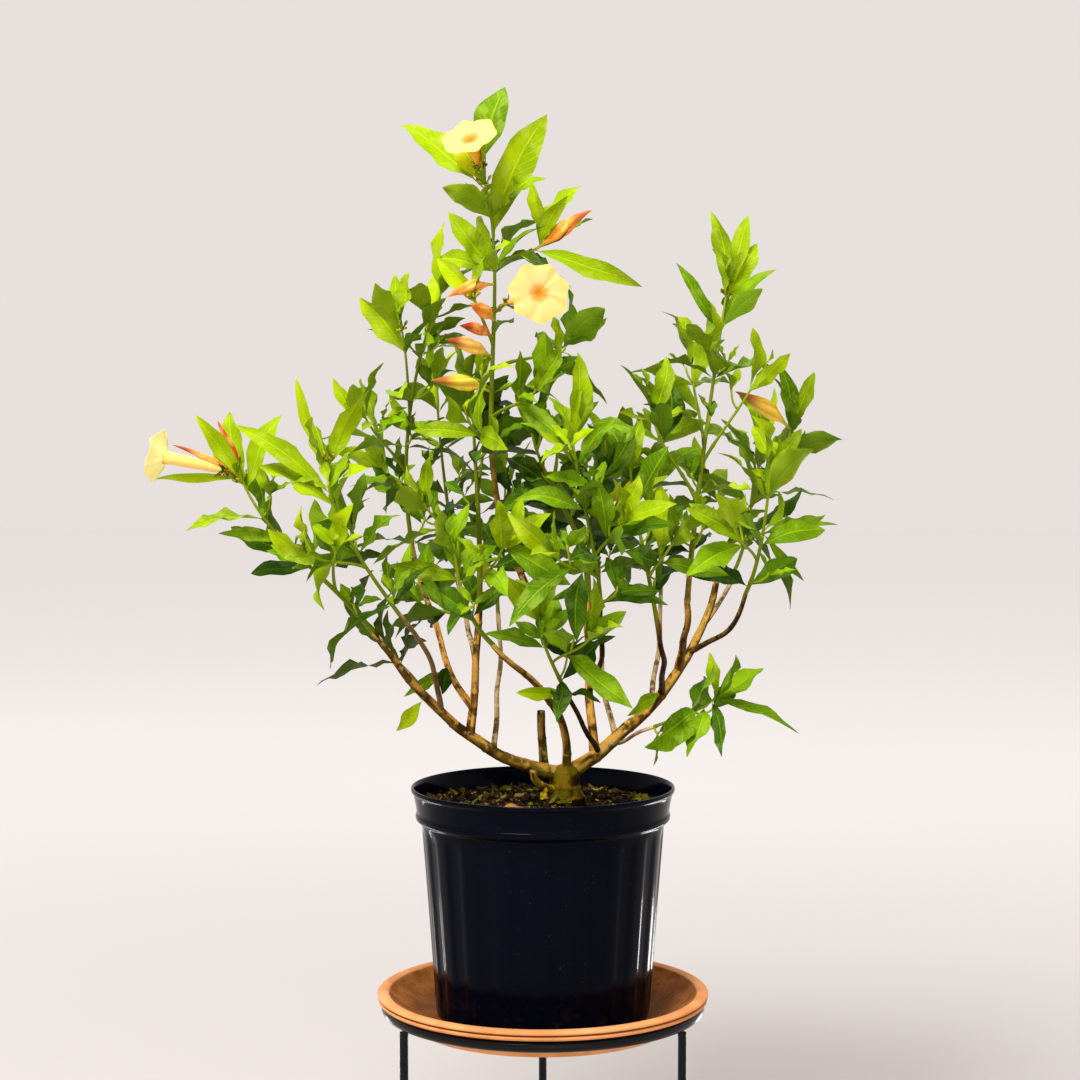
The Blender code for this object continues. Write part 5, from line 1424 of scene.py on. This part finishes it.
def leaf_shapes(group, seed):
    """Points, face sets, UV, underside flag and tint of a group of leaves, as whole arrays.

    The midrib leaves along the leaf's direction, falls with v squared, bows to a side and curls
    back near its tip. Across it, a point stands u half widths out, lifted by a fold that grows
    with |u| and by a wave that runs along each margin; the frame turns about the midrib with v.
    """
    dealer = np.random.default_rng(seed)
    count = len(group)

    def deal(low, high):
        return dealer.uniform(low, high, count)[:, None]

    columns = dict(zip(Leaf._fields, zip(*group)))
    root, direction, face = (np.array(columns[part]) for part in ("root", "direction", "face"))
    length, droop, width, rank, stalk = (np.array(columns[part], float)[:, None]
                                         for part in ("length", "droop", "width", "rank", "stalk"))
    v = LEAF_V ** (1 - stalk)
    twist = dealer.normal(0, 0.75, (count, 1)) * (v - 0.1) + deal(-0.3, 0.3)
    fold = np.where(rank < 1, deal(0.30, 0.85), deal(0.10, 0.75)) * (1 - 0.35 * v)
    wave, beats, phase = deal(0.20, 0.52), deal(1.4, 3.0), dealer.uniform(0, math.tau, (2, count, 1))
    bow = deal(-0.07, 0.07) * np.sin(math.pi * v)
    back = deal(-0.02, 0.20) * v**2 + deal(0.0, 1.3) * np.clip(v - 0.72, 0, 1) ** 2
    sway = deal(0.0, 0.030) * np.sin(math.tau * deal(0.9, 1.5) * v + phase[0])
    side = np.cross(direction, face)
    c, s = np.cos(twist)[..., None], np.sin(twist)[..., None]
    wide = c * side[:, None, :] + s * face[:, None, :]
    lift = c * face[:, None, :] - s * side[:, None, :]
    fall = (droop * v**2)[..., None] * (0, 0, -1)
    run = v[..., None] * direction[:, None, :] + (sway - back)[..., None] * face[:, None, :]
    middle = root[:, None, :] + length[..., None] * (run + bow[..., None] * side[:, None, :] + fall)
    half = half_width(v, stalk) * width * length * deal(0.86, 1.14)
    lobes = [1 + deal(0.04, 0.15) * np.sin(math.tau * deal(1.5, 3.2) * v + phase[k]) * np.clip(v / 0.2, 0, 1)
             for k in (0, 1)]
    u = LEAF_U[None, None, :]
    left, right = (np.sin(math.tau * beats * v + phase[k])[..., None] for k in (0, 1))
    ripple = np.where(u < 0, left, right) * np.abs(u) ** 1.6
    out = half[..., None] * np.where(u < 0, lobes[0][..., None], lobes[1][..., None]) * u
    ease = np.clip(half / (0.12 * length), 0, 1)[..., None]
    rise = half[..., None] * (fold[..., None] * np.abs(u) ** 1.15 + wave[..., None] * ripple * ease)
    below = np.arange(len(LEAF_U)) >= len(UPPER_U)
    rise = rise - THICKNESS * below
    points = (middle[:, :, None, :] + out[..., None] * wide[:, :, None, :]
              + rise[..., None] * lift[:, :, None, :])
    rows, cells = len(LEAF_V), len(LEAF_U)
    ring = np.arange(cells)
    caps = np.stack((ring[::-1], (rows - 1) * cells + ring))
    steps = rows * cells * np.arange(count)[:, None, None]
    uv = np.stack(np.broadcast_arrays((LEAF_U[None, :] + 1) / 2, LEAF_V[:, None]), axis=-1).reshape(-1, 2)
    under = np.tile(below.astype(float), rows * count)
    tint = np.repeat(dealer.uniform(0, 1, count), rows * cells)
    quads = grid(rows, cells, True)
    lower = np.arange(len(quads)) % cells >= len(UPPER_U) - 1
    quads[lower] = np.roll(quads[lower], -1, axis=1)
    faces = [(quads[None] + steps).reshape(-1, 4), (caps[None] + steps).reshape(-1, cells)]
    return points.reshape(-1, 3), faces, np.tile(uv, (count, 1)), {"under": under, "tint": tint}


def put_leaves(name, group, seed, finish, nodes=()):
    """One piece from a group of leaves."""
    points, faces, uv, values = leaf_shapes(group, seed)
    put_piece(name, points, faces, finish, "foliage", nodes, values, uv, sharp=80)
    print(name, "leaves:", len(group), "triangles:", sum(len(f) * (f.shape[1] - 2) for f in faces))


print("points in a leaf:", len(LEAF_V) * len(LEAF_U))

# %% Leaf colours
def leaf_finish(name, fresh, deep, rib, roughness):
    """A leaf: fresh to deep by leaf and cloud, painted shade and highlights, pale midrib and side veins."""
    leaf = Finish(name, roughness, Specular_IOR_Level=0.05)
    uv = leaf.node("ShaderNodeTexCoord", output="UV")
    u, v = leaf.part(uv, 0), leaf.part(uv, 1)
    off = 2 * abs(u - 0.5)
    slant = v * 13 - off * 2.2
    vein = 1 - leaf.step(abs(slant.math("FRACT", slant) - 0.5), 0.02, 0.16)
    midrib = 1 - leaf.step(off, 0.03, 0.10)
    cloud = leaf.noise(46, 4, rough=0.6)
    # painted highlight: pale patches away from the midrib
    painted_shine = leaf.patches(62, 3, 0.50, 0.64) * leaf.step(off, 0.08, 0.35)
    upper = leaf.layers(
        fresh,
        (leaf.step(0.5 * leaf.value("tint") + cloud, 0.40, 1.05), deep),
        # darker margins; painted shade on one half of the blade and near the stalk; painted highlights
        (0.25 * leaf.step(off, 0.55, 1.0), deep),
        (0.50 * leaf.step(u, 0.46, 0.54), deep),
        (0.45 * (1 - leaf.step(v, 0.05, 0.45)), deep),
        (0.42 * painted_shine, (0.85 * rib[0], 0.85 * rib[1], 0.045)),
        (0.20 * vein, rib),
        (0.55 * midrib, rib))
    lower = leaf.layers(deep, (0.30, (0.26, 0.36, 0.03)))
    leaf.feed(leaf.layers(upper, (0.7 * leaf.step(leaf.value("under"), 0.0, 0.4), lower)), "Base Color")
    leaf.feed(roughness + 0.16 * cloud, "Roughness")
    leaf.bump(0.35 * leaf.noise(300, 2) - 0.8 * midrib - 0.45 * vein, 0.40, 0.0008)
    return leaf


SHADES = {row[0]: leaf_finish("leaf_" + row[0], *row[1:]) for row in (
    ("lime", (0.39, 0.53, 0.001), (0.24, 0.37, 0.001), (0.50, 0.60, 0.01), 0.50),
    ("olive", (0.36, 0.50, 0.001), (0.15, 0.26, 0.001), (0.48, 0.57, 0.01), 0.50),
    ("fresh", (0.24, 0.42, 0.001), (0.075, 0.17, 0.001), (0.36, 0.50, 0.01), 0.48),
    ("green", (0.105, 0.23, 0.001), (0.026, 0.070, 0.001), (0.19, 0.33, 0.01), 0.45),
    ("dark", (0.036, 0.100, 0.001), (0.007, 0.022, 0.001), (0.080, 0.17, 0.005), 0.42),
    ("yellow", (0.64, 0.60, 0.002), (0.42, 0.45, 0.002), (0.70, 0.66, 0.03), 0.50),
)}
LADDER = ("dark", "green", "fresh", "olive", "lime")
LIGHT_FROM = unit((-0.30, -0.45, 0.85))
BESIDE, NEAREST, FARTHEST = 0.028, 0.008, 0.20


def shaded_by(group):
    """How many leaves stand between each leaf and the light: within 28 mm of its way, up to 0.2 m."""
    middles = np.array([leaf.root + 0.55 * leaf.length * leaf.direction for leaf in group])
    along_light = middles @ LIGHT_FROM
    flat = middles - along_light[:, None] * LIGHT_FROM
    counts = []
    for place, depth in zip(flat, along_light):
        ahead = along_light - depth
        beside = np.linalg.norm(flat - place, axis=1) < BESIDE
        counts.append(int((beside & (ahead > NEAREST) & (ahead < FARTHEST)).sum()))
    return counts


def shade_of(leaf, shaded, spray):
    """The shade of a leaf: a spray's own number, its height, how far out it is, its age and its light."""
    away = leaf.root + 0.6 * leaf.length * leaf.direction - RIM - TRUNK_FOOT
    # Height and reach out: partly paler young growth, partly painted light from above.
    out = math.hypot(away[0] / 0.30, away[1] / 0.24) * np.clip(away[2] / 0.20, 0.2, 1.0)
    high = np.interp(away[2], (0.04, 0.16, 0.60), (0.45, 1.45, 3.84))
    high = high + 1.1 * (leaf.mass == "leaves_front_low")
    # painted shade: each leaf between this one and the light makes it darker
    score = high + 1.5 * out + spray + leaf.tone - 0.22 * min(leaf.rank, 4) - 0.20 * min(shaded, 7)
    return LADDER[int(np.clip(score, 0, 4))]


SPRAY_SIZE, SPRAY_SPREAD, LEAF_SPREAD, YELLOW_SHARE = 0.045, 0.8, 0.45, 0.008
spray_numbers, groups = {}, {shade: [] for shade in SHADES}
draw = random.Random("shades")
for leaf, shaded in zip(leaves, shaded_by(leaves)):
    spray = (leaf.mass, *(int(step) for step in (leaf.root - RIM) / SPRAY_SIZE))
    if spray not in spray_numbers:
        spray_numbers[spray] = draw.uniform(-SPRAY_SPREAD, SPRAY_SPREAD)
    shade = shade_of(leaf, shaded, spray_numbers[spray] + draw.uniform(-LEAF_SPREAD, LEAF_SPREAD))
    groups["yellow" if draw.random() < YELLOW_SHARE else shade].append(leaf)
for index, (shade, group) in enumerate(groups.items()):
    put_leaves(f"leaves_in_{shade}", group, 100 + index, SHADES[shade], MASSES if shade == "green" else ())

# %% [markdown]
# ## Blossoms
#
# A blossom is a slender tube that widens into a funnel, and five broad petals that open flat,
# each one's edge under the next. The throat is orange and the petals are a pale cream yellow, so
# thin that a little of the light goes through them; that light is painted, as a faint glow of the
# petals' own colour and as a paler yellow on their outer side. A blossom turns its face to the
# light, so its tube bends: it is swept along a curve that ends along the face's direction, and its
# radius runs out along the funnel and back inside it. The petals are one surface of two numbers,
# out from the throat and round it, with a crease where two petals meet and a ruffled margin.

# %% Blossom finish
# Emission paints a faint glow of the petals' own colour, for light that comes through them.
petal = Finish("petal_cream", 0.6, Specular_IOR_Level=0.10, Emission_Strength=0.16)
out = petal.value("out")
petal.feed(petal.layers(
    (0.52, 0.185, 0.008),
    (petal.step(out, 0.08, 0.22), (0.55, 0.26, 0.045)),
    (petal.step(out, 0.21, 0.40), (0.62, 0.455, 0.158)),
    (petal.step(out, 0.70, 1.0), (0.62, 0.465, 0.120)),
    (0.14 * petal.value("crease") * petal.step(out, 0.2, 0.6), (0.60, 0.36, 0.05)),
    # painted light: the outer side is paler, for light that comes through the petal
    (petal.value("outside"), (0.95, 0.82, 0.30))), "Base Color", "Emission Color")
petal.bump(petal.noise(120, 3), 0.15, 0.0008)

funnel = Finish("blossom_tube", 0.5, Specular_IOR_Level=0.2)
rise = funnel.value("rise")
amber = funnel.layers((0.95, 0.61, 0.150), (funnel.value("amber"), (0.88, 0.37, 0.020)))
throat = funnel.layers((0.94, 0.30, 0.030), (funnel.step(rise, 0.72, 0.95), (0.95, 0.44, 0.10)))
funnel.feed(funnel.layers(
    (0.20, 0.26, 0.008),
    (funnel.step(rise, 0.16, 0.34), amber),
    (0.25 * funnel.patches(70, 2, 0.55, 0.70, stretch=(1, 1, 0.5)), (0.84, 0.40, 0.08)),
    (funnel.value("throat"), throat)), "Base Color")
funnel.bump(funnel.noise(150, 2), 0.15, 0.0006)

# %% Blossoms
MOUTH, FLARE = 0.0003, 0.0064
PETAL_THICKNESS = 0.0004
AROUND_FUNNEL, PATH_STEPS, CALYX = 26, 120, 5
FUNNEL = (
    (0.0, 0.0014), (0.20, 0.0021), (0.36, 0.0036), (0.52, 0.0049), (0.72, 0.0057), (0.88, 0.0061),
    (0.98, 0.0072), (0.975, 0.0065), (0.87, 0.0055), (0.74, 0.0048), (0.60, 0.0036), (0.56, 0.0016),
)


def along_axis(points, base, axis):
    """Points drawn about Z, moved so that Z runs along an axis from a base."""
    side, up = across(axis, (0.3, 1.0, 0.1))
    return base + points[..., :1] * side + points[..., 1:2] * up + points[..., 2:] * axis


def petals(blossom, seed, rows=15, columns=84):
    """The petals as one surface about Z: w goes out from the throat, a goes round.

    The distance from the axis runs from the mouth to the end, which is longest at each lobe's tip;
    the height is the cup times what passes the tube, dips into the throat, sinks in a crease
    between two petals and ruffles outwards. Gives points, faces, and the numbers out, crease and
    outside.
    """
    dealer = np.random.default_rng(seed)
    w, a = np.meshgrid(np.linspace(0, 1, rows), angles_round(columns), indexing="ij")
    notches = np.abs(np.sin(0.5 * blossom.lobes * a)) ** 1.5
    tips = 1.04 - 0.13 * notches + 0.025 * np.sin(2 * a + dealer.uniform(0, 6))
    reach = MOUTH + (blossom.radius * tips - MOUTH) * w
    crease = np.abs(np.cos(2.5 * a)) ** 14
    ruffle = np.sin(9 * a + dealer.uniform(0, 6)) + 0.6 * np.sin(14 * a + dealer.uniform(0, 6))
    height = (blossom.cup * np.clip(reach - FLARE, 0, 1) - 0.0034 * (1 - w) ** 4
              - 0.0007 * crease * np.sin(math.pi * w) + 0.0007 * w**2 * ruffle - 0.0022 * w**3)
    turned = a + 0.10 * w
    top = np.stack((reach * np.cos(turned), reach * np.sin(turned), height), axis=-1).reshape(-1, 3)
    shell = np.vstack((top, top - (0, 0, PETAL_THICKNESS)))
    quads, count = grid(rows, columns, True), rows * columns
    here = np.arange(columns)
    ahead = (here + 1) % columns
    outer = np.stack((count - columns + here, count - columns + ahead), axis=-1)
    inner = np.stack((ahead, here), axis=-1)
    rims = [np.hstack((edge[:, ::-1], edge + count)) for edge in (outer, inner)]
    outs = np.concatenate((w, np.clip(w, 0.5, 1))).ravel()
    outside = np.repeat((0.0, 1.0), count)
    return shell, [quads, quads[:, ::-1] + count, *rims], outs, np.tile(crease.ravel(), 2), outside


petal_shapes, funnel_shapes, calyx_leaves, calyxes = [], [], [], []
for number, blossom in enumerate(BLOSSOMS):
    base, ahead = at_share(stem(blossom.mass, blossom.shoot), blossom.at)
    mouth, axis = from_rim(blossom.mouth), unit(blossom.face)
    points, *rest = petals(blossom, 60 + number)
    petal_shapes.append((along_axis(points, mouth, axis), *rest))
    curve = sweep(base, mouth, 0.5 * unit(mouth - base) + 0.4 * ahead, 1.1 * axis, LIMB_SAMPLES)
    path = even_points(curve, PATH_STEPS + 1)
    shares, radii = np.array(FUNNEL).T
    where = np.rint(shares * PATH_STEPS).astype(int)
    frames = tuple(directions[where] for directions in tube_frames(path))
    points, faces, relief = tube(path[where], radii, AROUND_FUNNEL, frames=frames)
    rise = per_point(shares, AROUND_FUNNEL, [0, 0.56])
    throat = per_point(np.arange(len(FUNNEL)) > np.argmax(shares), AROUND_FUNNEL, [False, True])
    funnel_shapes.append((points, faces, rise, throat, np.full(len(points), blossom.amber)))
    foot, way = at_share(path, 0.20)
    calyxes.append((foot, way))
    for angle in np.arange(CALYX) * math.tau / CALYX:
        out_way = round_axis(way, angle, UPRIGHT)
        direction = unit(way + 0.40 * out_way)
        inner = square_to(direction, out_way)
        calyx_leaves.append(Leaf(foot, direction, -inner, 0.014, 0.0, 0.9, 0, blossom.mass))
put_joined("blossom_petals", petal_shapes, ("out", "crease", "outside"), petal, "foliage", sharp=60)
put_joined("blossom_tubes", funnel_shapes, ("rise", "throat", "amber"), funnel, "foliage")

# %% [markdown]
# ## Buds and spent blossoms
#
# A closed bud is a long twisted spindle: its petals are rolled round each other, so a few spiral
# folds run from its waist to its thin point. Spent ones hang on and turn peach, orange and dark
# red. Each is a tube swept along a slightly bent line, and a cosine that turns as it climbs
# gives the folds. Tiny green buds sit in clusters beside them, on stalks of their own.

# %% Buds
# Emission paints a faint glow of the bud's own colour, for light through its thin petals.
bud_skin = Finish("bud_skin", 0.5, Specular_IOR_Level=0.15, Emission_Strength=0.10)
warmth, climb = bud_skin.value("warmth"), bud_skin.value("climb")
bud_skin.feed(bud_skin.layers(
    (0.93, 0.58, 0.045),
    (bud_skin.step(warmth, 0.05, 0.30), (0.93, 0.48, 0.10)),
    (bud_skin.step(warmth, 0.30, 0.55), (0.90, 0.27, 0.018)),
    (bud_skin.step(warmth, 0.60, 0.95), (0.60, 0.065, 0.010)),
    (0.45 * bud_skin.patches(110, 3, 0.47, 0.60, stretch=(1, 1, 0.6)), (0.96, 0.64, 0.17)),
    (0.75 * (1 - bud_skin.step(climb, 0.06, 0.30)), (0.34, 0.34, 0.02)),
    (0.9 * (bud_skin.value("tipped") * bud_skin.step(climb, 0.56, 0.84)), (0.25, 0.018, 0.014)),
    (0.42 * bud_skin.step(bud_skin.value("crease"), 0.55, 1.0), (0.55, 0.12, 0.010))),
    "Base Color", "Emission Color")
bud_skin.bump(bud_skin.noise(180, 2), 0.2, 0.0006)
STALK_FORM = ((0.0, 0.0012), (0.09, 0.0014), (0.16, 0.0022))
BUD_FORM = ((0.26, 0.62), (0.38, 1.0), (0.54, 0.96), (0.72, 0.70), (0.87, 0.38), (0.96, 0.17), (1.0, 0.05))
AROUND_BUD, BUD_RINGS = 20, 40
bud_shapes = []
for number, bud in enumerate(BUDS):
    base, ahead = at_share(stem(bud.mass, bud.shoot), bud.at)
    tip = from_rim(bud.tip)
    way = unit(tip - base)
    path = even_points(sweep(base, tip, way + 0.25 * ahead, way - (0, 0, 0.2)), BUD_RINGS)
    climbs = np.linspace(0, 1, BUD_RINGS)
    radii = np.interp(climbs, *zip(*STALK_FORM, *((share, r * bud.radius) for share, r in BUD_FORM)))
    turning = 4 * angles_round(AROUND_BUD)[None, :] + 9 * climbs[:, None] + number
    relief = 0.20 * np.cos(turning) * np.clip(radii / bud.radius, 0, 1)[:, None]
    points, faces, relief = tube(path, radii, AROUND_BUD, relief)
    warmth, tipped = (np.full(len(points), value) for value in (bud.warmth, bud.tipped))
    climbs = per_point(climbs, AROUND_BUD, [0, 1])
    bud_shapes.append((points, faces, warmth, climbs, 0.5 - 2.5 * relief, tipped))
put_joined("spent_buds", bud_shapes, ("warmth", "climb", "crease", "tipped"), bud_skin, "foliage")

bud_green = Finish("young_bud", 0.5, Specular_IOR_Level=0.25)
speckle = bud_green.patches(220, 2, 0.4, 0.6)
bud_green.feed(bud_green.layers((0.10, 0.075, 0.004), (speckle, (0.46, 0.42, 0.01))), "Base Color")
CLUSTERS = (
    ("leaves_leader", 0, 0.975, 9), ("leaves_leader", 0, 0.66, 8), ("leaves_leader", 5, 0.9, 5),
    ("leaves_left_front", 0, 0.99, 9), ("leaves_left_top", 2, 0.9, 5), ("leaves_right_tall", 0, 0.85, 5),
    ("leaves_far_left", 0, 0.96, 6), ("leaves_right_leader", 0, 0.97, 5),
)
CALYX_BUDS = (4, 12, 4)
AROUND_YOUNG = 8
young_shapes = []
draw = random.Random("clusters")
places = [(*at_share(stem(mass, shoot), at), count) for mass, shoot, at, count in CLUSTERS]
places += [(*calyx, count) for calyx, count in zip(calyxes, CALYX_BUDS)]
for base, axis, count in places:
    for number in range(count):
        angle, size = draw.uniform(0, math.tau), draw.uniform(0.007, 0.014)
        way = unit(axis * draw.uniform(0.3, 1.2) + round_axis(axis, angle, UPRIGHT) + (0, -0.4, 0))
        form = ((0, 0), (0.0007, 0.0002), (0.0008, 0.5 * size), (0.0017, 0.7 * size), (0.0013, 0.9 * size),
                (0, size))
        points, faces = turn(rounded(form, 1), AROUND_YOUNG)
        young_shapes.append((along_axis(points, base, way), outward(faces)))
put_joined("young_buds", young_shapes, (), bud_green, "foliage")
put_leaves("calyx_leaves", calyx_leaves, 300, SHADES["green"])
print("buds:", len(BUDS), "young buds:", len(young_shapes))

# %% [markdown]
# ## Fallen leaves
#
# A few dropped leaves lie on the mix: a small one, bright yellow, leans on the trunk, and two are
# dried to tan. They are the same leaf surface as those on the plant, laid flat.

# %% Fallen leaves
dry = leaf_finish("leaf_dry", (0.50, 0.26, 0.055), (0.26, 0.115, 0.028), (0.42, 0.22, 0.06), 0.6)
gold = leaf_finish("leaf_gold", (0.86, 0.62, 0.020), (0.62, 0.42, 0.010), (0.90, 0.70, 0.05), 0.5)
FALLEN = (
    (gold, (-0.002, -0.012), 0.002, (0.35, -0.1, 0.9), (0.1, -0.9, 0.3), 0.016),
    (dry, (-0.045, -0.108), 0.013, (1.0, 0.05, 0.04), (0.0, -0.5, 1.0), 0.030),
    (dry, (0.006, -0.102), 0.005, (0.9, -0.1, 0.1), (0.1, -0.4, 1.0), 0.022),
)
for number, (finish, (x, y), lift, way, face, length) in enumerate(FALLEN, start=1):
    direction = unit(way)
    root = RIM + (x, y, float(soil_height(np.array(x), np.array(y))) + lift)
    fallen = Leaf(root, direction, across(direction, face)[1], length, 0.0, 1.2, 2, "soil")
    put_leaves(f"fallen_leaf_{number}", [fallen], 500 + number, finish)
print("fallen leaves:", len(FALLEN))
